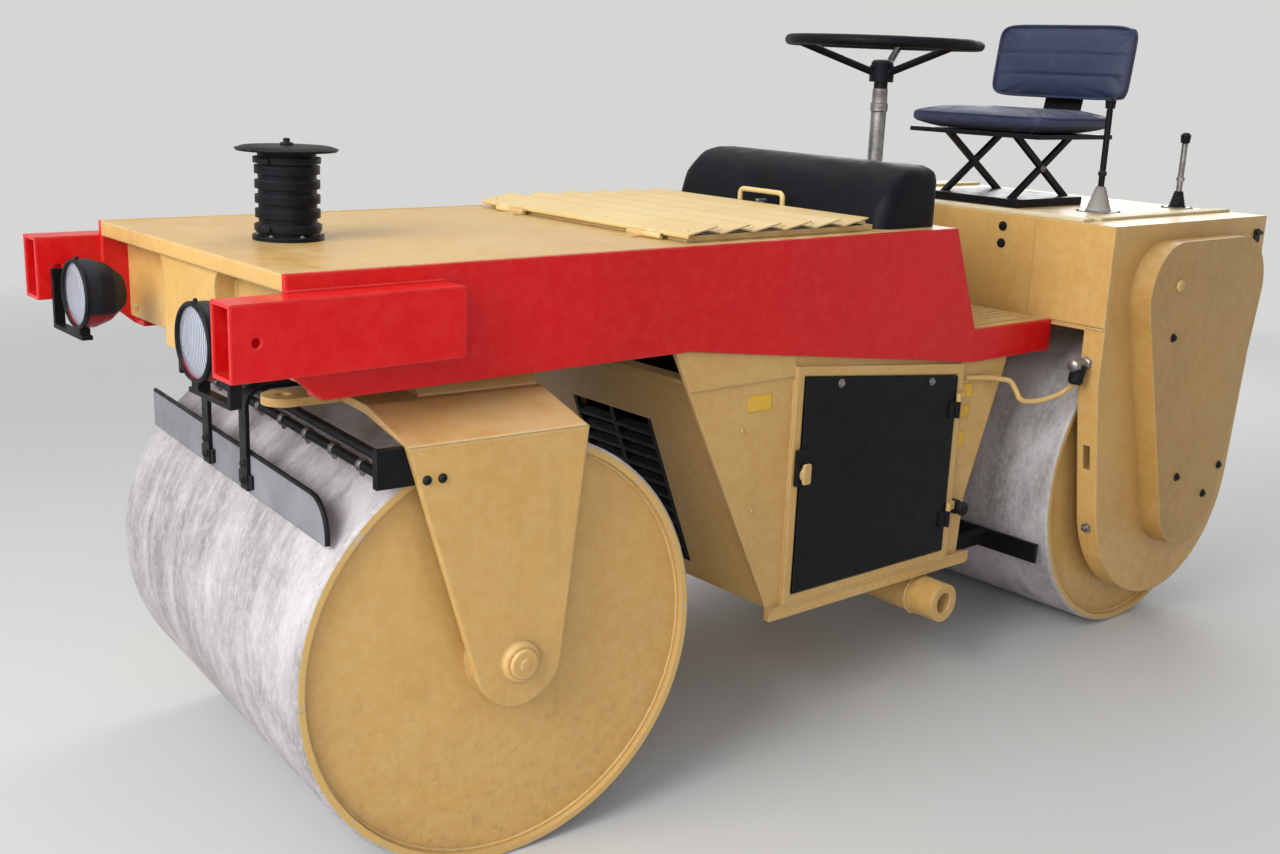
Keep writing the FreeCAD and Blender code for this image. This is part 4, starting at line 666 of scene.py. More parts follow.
def crowned(name, node, axes, half, channels):
    """A cushion in its CAD solid's space. axes: origin, across, along the seat and out of it;
    half: half sizes in that order; channels: the sewn lines as shares of the depth."""
    origin, side, along, out = axes
    half_side, half_along, half_out = half
    low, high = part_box(node)
    source = bmesh.new()
    bmesh.ops.create_cube(source, size=2.0)
    bmesh.ops.subdivide_edges(source, edges=source.edges[:], cuts=20, use_grid_fill=True)
    for vert in source.verts:
        u, v, w = vert.co
        bulge = (1 - u ** 4) * (1 - v ** 4)
        tuck = 1 - 0.05 * abs(w) ** 3 - 0.03 * (1 - bulge)
        pull = 1 - 0.05 * abs(u) ** 6 * abs(v) ** 6
        lift = half_out * (0.62 + 0.22 * bulge)
        vert.co = (origin + side * (u * half_side * tuck * pull)
                   + along * (v * half_along * tuck * pull) + out * (w * lift))
    piece = new_piece(name, source, "seat_vinyl", "chassis")
    remeshed(piece)
    blown(piece, low, high, origin, out)
    mesh = piece.data
    for axis, reach in ((side, half_side * 0.985), (along, half_along * 0.985), (out, half_out * 0.96)):
        widest = max(abs((vert.co - origin).dot(axis)) for vert in mesh.vertices)
        for vert in mesh.vertices:
            vert.co += axis * ((vert.co - origin).dot(axis) * (reach / widest - 1))
    for vert in mesh.vertices:
        away = vert.co - origin
        u = away.dot(side) / half_side
        v = away.dot(along) / half_along
        level = away.dot(out)
        seam = sum(math.exp(-((v - place) / 0.03) ** 2) for place in channels)
        press = 0.006 * min(seam, 1.0) * max(0.0, 1 - abs(u) ** 8) * (1 - abs(v) ** 10)
        if level > 0:
            vert.co -= out * press
    mesh.materials.clear()
    mesh.materials.append(MATERIALS["seat_vinyl"])
    mesh.shade_smooth()
    smooth = piece.modifiers.new("smooth", "SUBSURF")
    smooth.levels = 1
    smooth.render_levels = 1
    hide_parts(node)
    return piece


def piping(name, origin, side, along, half_side, half_along, level, radius):
    """The piped seam round a cushion."""
    points = []
    steps = 96
    power = 0.24
    for step in range(steps):
        angle = math.tau * step / steps
        u = math.copysign(abs(math.cos(angle)) ** power, math.cos(angle))
        v = math.copysign(abs(math.sin(angle)) ** power, math.sin(angle))
        points.append(origin + side * (u * half_side) + along * (v * half_along) + level)
    return tube_along(name, points, radius, "seat_vinyl", "chassis", closed=True)


SEAT_LEAN = 0.027


def make_seat():
    low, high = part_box("seat_cushion")
    middle = (low + high) / 2
    half = (high - low) / 2
    crowned("seat_cushion_cover", "seat_cushion", (middle, LEFT, AHEAD, UP), (half.y, half.x, half.z),
            (-0.45, 0.0, 0.45))
    piping("seat_cushion_piping", middle, LEFT, AHEAD, half.y * 0.975, half.x * 0.975,
           UP * (half.z * 0.35), 0.0035)
    low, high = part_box("seat_back")
    tall = high.z - low.z
    thick = high.x - low.x - SEAT_LEAN
    rise = Vector((-SEAT_LEAN, 0, tall)).normalized()
    out = Vector((rise.z, 0, -rise.x))
    middle = (low + high) / 2
    crowned("seat_back_cover", "seat_back", (middle, LEFT, rise, out), (half.y, tall / 2, thick / 2 - 0.001),
            (-0.4, 0.2))
    piping("seat_back_piping", middle, LEFT, rise, half.y * 0.975, tall * 0.487,
           out * (thick * 0.2), 0.0035)
    source = bmesh.new()
    for side in (-1, 1):
        place = Vector((-1.015, 0.30 * side, 1.19))
        add_bolt(source, surface("seat_frame", place, LEFT * side), LEFT * side, 0.006)
    new_piece("seat_pivot_bolts", source, "bare_steel", "chassis")


make_seat()


# Fork, drum and scraper pieces

STRAP_LEFT = 0.100
BLADE_AHEAD = 0.329
BLADE_TOP = 0.722
BLADE_CORNER = 0.060


def make_fork_pieces():
    caps = bmesh.new()
    dark = bmesh.new()
    for side, sign in SIDES:
        out = FORK_LEFT * sign
        node = "fork_plate_" + side
        cap = surface(node, yoke(0, 0.6 * sign, FRONT_AXLE.z), out)
        add_revolved(caps, [(0, -SINK), (0.0275, -SINK), (0.0275, 0.004), (0.0255, 0.0065), (0.010, 0.0070),
                            (0.0088, 0.0088), (0, 0.0092)], cap, out, 32)
        for ahead in (0.182, 0.154):
            add_bolt(dark, surface(node, yoke(ahead, 0.6 * sign, 0.756), out), out, 0.0055)
    new_piece("axle_caps", caps, "paint_tan", "yoke")
    new_piece("fork_plate_bolts", dark, "black_paint", "yoke")
    fixings = bmesh.new()
    for left in (-STRAP_LEFT, STRAP_LEFT):
        for high in (0.670, 0.702):
            add_bolt(fixings, surface("scraper_arms", yoke(0.5, left, high), FORK_AHEAD), FORK_AHEAD, 0.0055)
        for beside in (-0.024, 0.024):
            place = surface("scraper_blade", yoke(0.5, left + beside, 0.672), FORK_AHEAD)
            add_plate(fixings, place, FORK_AHEAD, UP, 0.014, 0.026, 0.006, 0.002, 0.001)
    new_piece("scraper_blade_bolts", fixings, "black_paint", "yoke")
    spray = bmesh.new()
    for index in range(8):
        left = -0.40 + 0.80 * index / 7
        place = yoke(0.246, left, 0.763)
        add_revolved(spray, [(0.0105, -0.007), (0.0125, -0.003), (0.0125, 0.003), (0.0105, 0.007),
                             (0.0085, 0.007), (0.0085, -0.007), (0.0105, -0.007)], place, FORK_LEFT, 20)
        add_revolved(spray, [(0, 0.006), (0.0052, 0.006), (0.0052, 0.014), (0.0032, 0.018), (0, 0.018)],
                     place, -UP, 6)
    new_piece("spray_nozzles", spray, "bare_steel", "yoke")
    rim = [yoke(BLADE_AHEAD, left, BLADE_TOP) for left in (-0.444, -0.30, -0.15, 0.0, 0.15, 0.30, 0.384)]
    for step in range(1, 7):
        angle = math.radians(90 - 15 * step)
        rim.append(yoke(BLADE_AHEAD, 0.385 + BLADE_CORNER * math.cos(angle),
                        BLADE_TOP - BLADE_CORNER + BLADE_CORNER * math.sin(angle)))
    rim.append(yoke(BLADE_AHEAD, 0.445, 0.650))
    tube_along("scraper_blade_bead", rim, 0.0048, "black_paint", "yoke")


DRUM_BORE = 0.382
DISC_FACE = 0.454


def make_drum_pieces():
    for name, body, centre, left in (("front", "front_drum", FRONT_AXLE, FORK_LEFT),
                                     ("rear", "rear_drum", REAR_AXLE, LEFT)):
        for side, sign in SIDES:
            ring = circle(centre + left * (sign * (DISC_FACE + 0.001)), left, DRUM_BORE - 0.002, 400)
            radii = [1.0 + (0.14 if index % 2 else -0.1) for index in range(len(ring))]
            tube_along(f"{name}_drum_weld_{side}", ring, 0.004, "paint_tan", body, True, 4, radii)
        plugs = bmesh.new()
        for sign in (-1, 1):
            place = surface(name + "_drum_ends", centre + left * (0.7 * sign) + UP * 0.30 + AHEAD * 0.06,
                            left * sign)
            add_disc(plugs, place, left * sign, 0.020, 0.004, 0.001, 32)
            add_disc(plugs, place + left * (sign * 0.004), left * sign, 0.0105, 0.007, 0.001, 6)
        new_piece(name + "_drum_plugs", plugs, "paint_tan", body)


# Front: lamps, intake, tubes

def make_front_pieces():
    rims = bmesh.new()
    for sign in (-1, 1):
        place = Vector((1.444, 0.262 * sign, 0.972))
        add_revolved(rims, [(0.0585, -0.004), (0.0648, -0.006), (0.0652, 0.001), (0.0625, 0.004),
                            (0.0588, 0.003), (0.0585, -0.004)], place, AHEAD, 48)
        add_disc(rims, place + UP * 0.0655 - AHEAD * 0.006, UP, 0.004, 0.004, 0.001, 6)
    new_piece("headlamp_rims", rims, "black_paint", "chassis")
    low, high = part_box("air_intake")
    centre = Vector(((low.x + high.x) / 2, 0, 0))
    trim = bmesh.new()
    for level in (1.112, 1.232):
        ring = circle(centre + UP * level, UP, 0.0575, 40)
        add_revolved(trim, [(0.0560, -0.005), (0.0602, -0.005), (0.0602, 0.005), (0.0560, 0.005),
                            (0.0560, -0.005)], centre + UP * level, UP, 40)
        add_plate(trim, ring[3] + (ring[3] - centre - UP * level).normalized() * 0.003,
                  ring[3] - centre - UP * level, UP, 0.016, 0.009, 0.007, 0.001, 0.001)
    add_revolved(trim, [(0, 0), (0.012, 0), (0.012, 0.004), (0.006, 0.006), (0.006, 0.012), (0.0, 0.013)],
                 centre + UP * (high.z - 0.001), UP, 20)
    new_piece("intake_clamps", trim, "black_paint", "chassis")
    foot = bmesh.new()
    for step in range(6):
        angle = math.tau * (step + 0.5) / 6
        spot = centre + Vector((0.0535 * math.cos(angle), 0.0535 * math.sin(angle), 1.2))
        add_bolt(foot, Vector((spot.x, spot.y, 1.098)), UP, 0.0035)
    new_piece("intake_foot_bolts", foot, "bare_steel", "chassis")
    for side, sign in SIDES:
        weld(f"tube_weld_{side}",
             [(1.348, 0.3915 * sign, 1.0635), (1.0575, 0.3915 * sign, 1.0635), (1.0575, 0.3915 * sign, 0.9415),
              (1.348, 0.3915 * sign, 0.9415)], 0.0028, "paint_red", "chassis")
        weld(f"deck_weld_{side}", [(1.346, 0.3785 * sign, 1.0895), (0.492, 0.3785 * sign, 1.0895)], 0.0024,
             "paint_tan", "chassis")
    weld("tow_box_weld", [(1.2985, 0.1085, 1.078), (1.2985, 0.1085, 0.898)], 0.003, "paint_tan", "chassis")
    hardware = bmesh.new()
    for side, sign in SIDES:
        for high in (0.925, 1.06):
            try:
                spot = surface("front_panel", (1.5, 0.345 * sign, high), AHEAD)
            except ValueError:
                continue
            add_bolt(hardware, spot, AHEAD, 0.006)
    new_piece("front_panel_bolts", hardware, "paint_tan", "chassis")


# Engine cover, console, wheel and levers

COVER_HINGE = 0.484
COVER_FRAME_TOP = 1.107
COVER_RAIL = 0.020
COVER_TAIL = 0.024
SLATS = 6
SLAT_PITCH = (0.560 - COVER_TAIL) / SLATS
SLAT_LONG = 0.078
SLAT_RISE = 0.014
SLAT_LAP = 0.018
SLAT_SHEET = 0.003
SLAT_LIP = 0.008
FRONT_INSET = 0.014
RAIL_DROP = 0.0045
SHEET = 0.005
KNUCKLE = 0.006
LID_HINGE_OUT = 0.2303
LID_HINGE_WIDE = 0.050


def make_cover_pieces():
    catch = bmesh.new()
    base = surface("engine_cover", (-0.064, 0, 1.3), UP)
    add_plate(catch, base, UP, AHEAD, 0.050, 0.018, 0.003, 0.004, 0.001)
    add_disc(catch, base + UP * 0.003, UP, 0.008, 0.012, 0.002, 24)
    add_plate(catch, base + UP * 0.015 - AHEAD * 0.001, UP, AHEAD, 0.012, 0.034, 0.005, 0.005, 0.002)
    for sign in (-1, 1):
        foot = surface("engine_cover", (-0.064, 0.070 * sign, 1.3), UP)
        add_disc(catch, Vector((-0.064, 0.070 * sign, foot.z)), UP, 0.011, 0.003, 0.001, 24)
    new_piece("cover_catch", catch, "bare_steel", "engine_cover")
    rivets = bmesh.new()
    along = Vector((-SLAT_LONG, 0, SLAT_RISE)).normalized()
    normal = Vector((SLAT_RISE, 0, SLAT_LONG)).normalized()
    for sign in (-1, 1):
        for slat in range(SLATS):
            front = Vector((COVER_HINGE - slat * SLAT_PITCH, 0.326 * sign, COVER_FRAME_TOP))
            add_disc(rivets, front + along * 0.020, normal, 0.0048, 0.0022, 0.001, 16)
    new_piece("cover_rivets", rivets, "lit_louvre_paint", "engine_cover")


def make_louvres():
    """The lid in place of its node: a frame, a front sheet, slats that rise rearwards, and knuckles."""
    low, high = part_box("engine_cover")
    side = high.y - SLAT_LAP
    inside = side - COVER_RAIL
    sheet = COVER_HINGE - FRONT_INSET
    top = COVER_FRAME_TOP
    lid = bmesh.new()

    def bar(back, front, under, over, right, left):
        add_prism(lid, [(back, under), (front, under), (front, over), (back, over)], right, left)

    for right, left in ((-side, -inside), (inside, side)):
        bar(low.x, sheet - SHEET, low.z, top - RAIL_DROP, right, left)
    bar(low.x, low.x + COVER_TAIL, low.z, top, -inside, inside)
    bar(sheet - SHEET, sheet, low.z, top - SLAT_SHEET, -side, side)
    axis_high = low.z + KNUCKLE
    for right in (LID_HINGE_OUT, -LID_HINGE_OUT - LID_HINGE_WIDE):
        bar(sheet, COVER_HINGE + KNUCKLE, axis_high, axis_high + KNUCKLE, right, right + LID_HINGE_WIDE)
        add_revolved(lid, [(0, 0), (KNUCKLE, 0), (KNUCKLE, LID_HINGE_WIDE), (0, LID_HINGE_WIDE)],
                     (COVER_HINGE + KNUCKLE, right, axis_high), LEFT, 24)
    for slat in range(SLATS):
        front = COVER_HINGE - slat * SLAT_PITCH
        rear = front - SLAT_LONG
        lip = SLAT_LIP if slat == 0 else SLAT_SHEET
        add_prism(lid, [(front - SLAT_SHEET, top - lip), (front, top - lip), (front, top), (rear, high.z),
                        (rear, high.z - SLAT_SHEET), (front - SLAT_SHEET, top - SLAT_SHEET + 0.0005)],
                  -high.y, high.y)
    piece = new_piece("cover_louvres", lid, "lit_louvre_paint", "engine_cover")
    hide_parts("engine_cover")
    # Thin dark rubber strips on the side rails under the slats' overhang: they darken that gap, partly as painted
    # shade.
    seals = bmesh.new()
    for sign in (-1, 1):
        middle = Vector(((low.x + COVER_TAIL + sheet) / 2, sign * (side + inside) / 2, top - RAIL_DROP))
        add_plate(seals, middle, UP, AHEAD, COVER_RAIL - 0.001, sheet - low.x - COVER_TAIL - 0.012,
                  0.0012, 0.002, 0.0004)
    new_piece("cover_shade_seals", seals, "wire_rubber", "engine_cover")


CONSOLE_ROUND = 0.038


def make_console():
    """The operator's console: a moulded box with round edges, gauges and switches on its rear face."""
    low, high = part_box("console")
    profile = [(high.x, low.z), (high.x - 0.024, low.z + 0.080), (high.x - 0.088, high.z), (low.x, high.z),
               (low.x, low.z)]
    source = bmesh.new()
    add_prism(source, profile, low.y, high.y)
    raised = [edge for edge in source.edges if max(vert.co.z for vert in edge.verts) > low.z + 0.01]
    bmesh.ops.bevel(source, geom=raised, offset=CONSOLE_ROUND, segments=7, profile=0.5, affect="EDGES",
                    clamp_overlap=True)
    cover = new_piece("console_shell", source, "black_plastic", "chassis")
    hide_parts("console")
    back = -AHEAD
    face_x = low.x
    middle_z = (low.z + high.z) / 2
    panel = bmesh.new()
    add_plate(panel, (face_x, 0, middle_z), back, UP, 0.56, 0.088, 0.0025, 0.010, 0.001)
    new_piece("console_panel", panel, "black_paint", "chassis")
    rims = bmesh.new()
    faces = bmesh.new()
    marks = bmesh.new()
    for place_y in (-0.075, 0.0, 0.075):
        centre = Vector((face_x - 0.0025, place_y, middle_z))
        add_revolved(rims, [(0.0240, -SINK), (0.0285, -SINK), (0.0285, 0.005), (0.0265, 0.0075),
                            (0.0240, 0.006), (0.0240, -SINK)], centre, back, 40)
        add_disc(faces, centre, back, 0.0242, 0.003, 0.0005, 40)
        for tick in range(11):
            angle = math.radians(-35 + 25 * tick)
            away = Vector((0, math.cos(angle), math.sin(angle)))
            add_plate(marks, centre + back * 0.003 + away * 0.019, back, away, 0.0012, 0.005, 0.0006, 0.0003)
        pointer = Vector((0, math.cos(1.9), math.sin(1.9)))
        add_plate(marks, centre + back * 0.0032 + pointer * 0.008, back, pointer, 0.0014, 0.020, 0.0008, 0.0004)
    new_piece("gauge_rims", rims, "bare_steel", "chassis")
    new_piece("gauge_faces", faces, "dial_face", "chassis")
    new_piece("gauge_marks", marks, "dial_mark", "chassis")
    switches = bmesh.new()
    knobs = bmesh.new()
    for place_y in (-0.235, -0.195, -0.155, 0.155, 0.195):
        centre = Vector((face_x - 0.0025, place_y, middle_z))
        add_disc(switches, centre, back, 0.0095, 0.005, 0.001, 6)
        add_revolved(switches, [(0, 0.004), (0.0028, 0.004), (0.0036, 0.020), (0.0024, 0.0225), (0, 0.023)],
                     centre, back + UP * 0.35, 14)
    key = Vector((face_x - 0.0025, 0.235, middle_z))
    add_disc(switches, key, back, 0.013, 0.007, 0.0015, 30)
    add_plate(knobs, key + back * 0.007, back, UP, 0.0030, 0.020, 0.018, 0.001, 0.0005)
    for place_y in (-0.12, 0.12):
        add_revolved(knobs, [(0, -SINK), (0.0085, -SINK), (0.0085, 0.004), (0.006, 0.008), (0, 0.0095)],
                     Vector((face_x - 0.0025, place_y, middle_z + 0.016)), back, 24)
    new_piece("console_switches", switches, "bare_steel", "chassis")
    new_piece("console_knobs", knobs, "paint_red", "chassis")
    screws = bmesh.new()
    for place_y in (-0.268, 0.268):
        for rise in (-0.034, 0.034):
            add_disc(screws, Vector((face_x - 0.0025, place_y, middle_z + rise)), back, 0.0035, 0.002, 0.0008, 16)
    new_piece("console_screws", screws, "bare_steel", "chassis")


WHEEL_X = -0.46


def make_wheel_pieces():
    sleeve = bmesh.new()
    add_revolved(sleeve, [(0.0175, 1.135), (0.0215, 1.135), (0.0215, 1.150), (0.0188, 1.152), (0.0188, 1.330),
                          (0.0215, 1.332), (0.0215, 1.350), (0.0188, 1.352), (0.0188, 1.386), (0.0175, 1.386),
                          (0.0175, 1.135)], (WHEEL_X, 0, 0), UP, 32)
    new_piece("column_tube", sleeve, "bare_steel", "chassis")
    hub = bmesh.new()
    top = surface("steering_wheel", (WHEEL_X, 0, 1.7), UP)
    add_revolved(hub, [(0, -SINK), (0.027, -SINK), (0.027, 0.006), (0.022, 0.012), (0.010, 0.0145),
                       (0, 0.015)], top, UP, 32)
    new_piece("wheel_hub_cap", hub, "black_plastic", "steering_wheel")
    grips = bmesh.new()
    low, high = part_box("steering_wheel")
    level = (high.z + (high.z - 0.026)) / 2
    count = 60
    for step in range(count):
        angle = math.tau * step / count
        place = Vector((WHEEL_X + 0.2235 * math.cos(angle), 0.2235 * math.sin(angle), level - 0.0085))
        add_revolved(grips, [(0, -0.0050), (0.0038, -0.0036), (0.0052, 0), (0.0038, 0.0036), (0, 0.0050)],
                     place, Vector((-math.sin(angle), math.cos(angle), 0)), 10)
    new_piece("wheel_finger_grips", grips, "black_plastic", "steering_wheel")


def add_boot(target, place, foot, neck, height, pleats):
    """A pleated rubber boot."""
    profile = [(0, -SINK), (foot, -SINK), (foot, 0.004)]
    for pleat in range(pleats):
        share = pleat / pleats
        wide = foot * 0.94 + (neck - foot * 0.94) * share
        level = 0.004 + (height - 0.006) * share
        step = (height - 0.006) / pleats
        profile += [(wide, level + step * 0.15), (wide - 0.0035, level + step * 0.75)]
    profile += [(neck, height - 0.002), (neck - 0.002, height), (0, height)]
    add_revolved(target, profile, place, UP, 32)


LEVERS = (("drive_lever", -1.03, 0.29, 1.385, 0.060, "black_paint", "boot_rubber"),
          ("rear_lever", -1.39, 0.31, 1.297, 0.040, "bare_steel", "wire_rubber"))
CASE_TOP = 1.092


def make_lever_pieces():
    for name, x, y, top, boot, rod_finish, boot_finish in LEVERS:
        source = bmesh.new()
        add_boot(source, Vector((x, y, CASE_TOP)), boot / 2 + 0.004, 0.013, boot + 0.006, 5)
        new_piece(name + "_boot", source, boot_finish, "chassis")
        rod = bmesh.new()
        low = CASE_TOP + boot + 0.004
        add_revolved(rod, [(0.0068, low), (0.0080, low), (0.0080, top - 0.030), (0.0068, top - 0.030),
                           (0.0068, low)], (x, y, 0), UP, 20)
        add_revolved(rod, [(0.0068, low + 0.03), (0.0110, low + 0.03), (0.0110, low + 0.040),
                           (0.0068, low + 0.040), (0.0068, low + 0.03)], (x, y, 0), UP, 6)
        new_piece(name + "_rod", rod, rod_finish, "chassis")
        foot = bmesh.new()
        add_plate(foot, (x, y, CASE_TOP), UP, AHEAD, boot + 0.028, boot + 0.028, 0.0025, 0.010, 0.001)
        for ahead in (-1, 1):
            for left in (-1, 1):
                spread = boot / 2 + 0.0075
                add_disc(foot, Vector((x + ahead * spread, y + left * spread, CASE_TOP + 0.0025)), UP,
                         0.0035, 0.0025, 0.0008, 6)
        new_piece(name + "_foot", foot, "bare_steel", "chassis")


# Sides: bay, doors and rear cases

def make_side_pieces():
    for side, sign in SIDES:
        out = LEFT * sign
        steel = bmesh.new()
        for x, z in ((0.0508, 0.7720), (-0.262, 0.7400)):
            add_bolt(steel, surface("side_door_" + side, (x, 0.6 * sign, z), out), out, 0.0065)
        knob = surface("side_door_" + side, (0.152, 0.6 * sign, 0.585), out)
        new_piece("door_bolts_" + side, steel, "bare_steel", "door_" + side)
        tab = bmesh.new()
        add_disc(tab, knob, out, 0.017, 0.003, 0.001, 28)
        add_plate(tab, knob + out * 0.003, out, UP, 0.024, 0.046, 0.005, 0.006, 0.0015)
        new_piece("door_tab_" + side, tab, "paint_tan", "door_" + side)
        fixings = bmesh.new()
        for x, z in ((-0.9376, 0.8145), (-1.047, 0.4369), (-1.262, 0.4376), (-1.1968, 0.3683)):
            add_bolt(fixings, surface("case_cover_" + side, (x, 0.8 * sign, z), out), out, 0.0075)
        new_piece("case_cover_bolts_" + side, fixings, "black_paint", "chassis")
        boss = bmesh.new()
        place = surface("case_cover_" + side, (-0.9378, 0.8 * sign, 0.9447), out)
        add_revolved(boss, [(0, -SINK), (0.0155, -SINK), (0.0155, 0.003), (0.0125, 0.0065), (0.005, 0.0080),
                            (0, 0.0082)], place, out, 32)
        new_piece("case_cover_boss_" + side, boss, "paint_tan", "chassis")
        hasp = bmesh.new()
        place = surface("side_case_" + side, (-1.405, 0.8 * sign, 1.040), out)
        add_plate(hasp, place, out, UP, 0.030, 0.036, 0.004, 0.004, 0.001)
        add_revolved(hasp, [(0, -0.014), (0.0055, -0.014), (0.0055, 0.014), (0, 0.014)],
                     place + out * 0.007 + UP * 0.008, AHEAD, 16)
        place = surface("side_case_" + side, (-1.405, 0.8 * sign, 0.965), out)
        add_plate(hasp, place, out, UP, 0.017, 0.095, 0.009, 0.006, 0.003)
        new_piece("case_strap_" + side, hasp, "black_paint", "chassis")
        bracket = bmesh.new()
        place = surface("side_case_" + side, (-0.5, 0.512 * sign, 0.3219), AHEAD, 0.3)
        add_disc(bracket, place, AHEAD, 0.012, 0.010, 0.002, 6)
        add_disc(bracket, place + AHEAD * 0.009, AHEAD, 0.006, 0.010, 0.001, 20)
        new_piece("case_plug_" + side, bracket, "bare_steel", "chassis")
        labels = bmesh.new()
        for x, z, wide, tall in ((0.284, 0.754, 0.070, 0.036), (-0.4125, 0.698, 0.050, 0.036),
                                 (-0.407, 0.648, 0.050, 0.030), (-0.400, 0.580, 0.044, 0.040)):
            place = surface("bay_side_" + side, (x, 0.6 * sign, z), out)
            add_plate(labels, place, out, UP, wide, tall, 0.0008, 0.003, 0.0003)
        new_piece("blank_labels_" + side, labels, "label_yellow", "chassis")
        stop = bmesh.new()
        place = surface("bay_side_" + side, (-0.405, 0.6 * sign, 0.412), out)
        add_revolved(stop, [(0, -SINK), (0.018, -SINK), (0.018, 0.012), (0.013, 0.016), (0.013, 0.022),
                            (0.0175, 0.026), (0.0165, 0.034), (0.010, 0.038), (0, 0.039)], place, out, 28)
        new_piece("rubber_stop_" + side, stop, "wire_rubber", "chassis")
        bay = bmesh.new()
        for x, z in ((0.330, 0.700), (0.290, 0.520), (-0.405, 0.520)):
            add_disc(bay, surface("bay_side_" + side, (x, 0.6 * sign, z), out), out, 0.0055, 0.0025, 0.001, 16)
        new_piece("bay_rivets_" + side, bay, "paint_tan", "chassis")
        weld(f"sill_weld_{side}", [(0.222, 0.3890 * sign, 0.2865), (-0.470, 0.3890 * sign, 0.2865)], 0.0022,
             "paint_tan", "chassis")
        weld(f"cross_tube_weld_{side}",
             circle(Vector((-0.306, 0.3705 * sign, 0.205)), LEFT, 0.048, 50), 0.003, "paint_tan", "chassis", True)
        weld(f"case_weld_{side}", [(-0.7195, 0.486 * sign, 0.842), (-0.7195, 0.538 * sign, 0.842)], 0.003,
             "paint_tan", "chassis")
    front = bmesh.new()
    for z in (1.059, 1.016):
        add_bolt(front, surface("platform_box", (-0.3, 0.2175, z), AHEAD), AHEAD, 0.008)
        add_bolt(front, surface("platform_box", (-0.3, -0.2175, z), AHEAD), AHEAD, 0.008)
    new_piece("platform_bolts", front, "black_paint", "chassis")


STRAP = ((-0.4011, 0.380, 0.7306), (-0.47, 0.390, 0.7255), (-0.5136, 0.400, 0.7194), (-0.5420, 0.410, 0.7124),
         (-0.5545, 0.420, 0.6913), (-0.5600, 0.430, 0.6712), (-0.5810, 0.440, 0.6635),
         (-0.6170, 0.455, 0.6660), (-0.6600, 0.475, 0.6804), (-0.7000, 0.488, 0.7038), (-0.7215, 0.495, 0.715))


def make_rear_strap():
    """The bent tan pipe from the bay to the left rear case, and the fitting above it."""
    tube_along("rear_pipe", smooth_line(STRAP), 0.0065, "paint_tan", "chassis", sides=16)
    fitting = bmesh.new()
    place = Vector((-0.721, 0.50, 0.755))
    add_revolved(fitting, [(0, -SINK), (0.017, -SINK), (0.017, 0.010), (0.012, 0.012), (0.012, 0.040),
                           (0.016, 0.042), (0.016, 0.062), (0.010, 0.066), (0, 0.066)], place, AHEAD, 6)
    new_piece("rear_fitting", fitting, "bare_steel", "chassis")
    sleeve = bmesh.new()
    add_revolved(sleeve, [(0, 0), (0.015, 0), (0.018, 0.006), (0.018, 0.044), (0.012, 0.050), (0, 0.050)],
                 place + AHEAD * 0.030, -UP + AHEAD * 0.25, 24)
    new_piece("rear_fitting_sleeve", sleeve, "wire_rubber", "chassis")
    ends = bmesh.new()
    add_plate(ends, surface("bay_side_left", (-0.4011, 0.6, 0.7306), LEFT), LEFT, UP, 0.026, 0.026, 0.003,
              0.004, 0.001)
    new_piece("rear_pipe_foot", ends, "paint_tan", "chassis")


# Engine: what shows through the louvres, the grille and the open doors

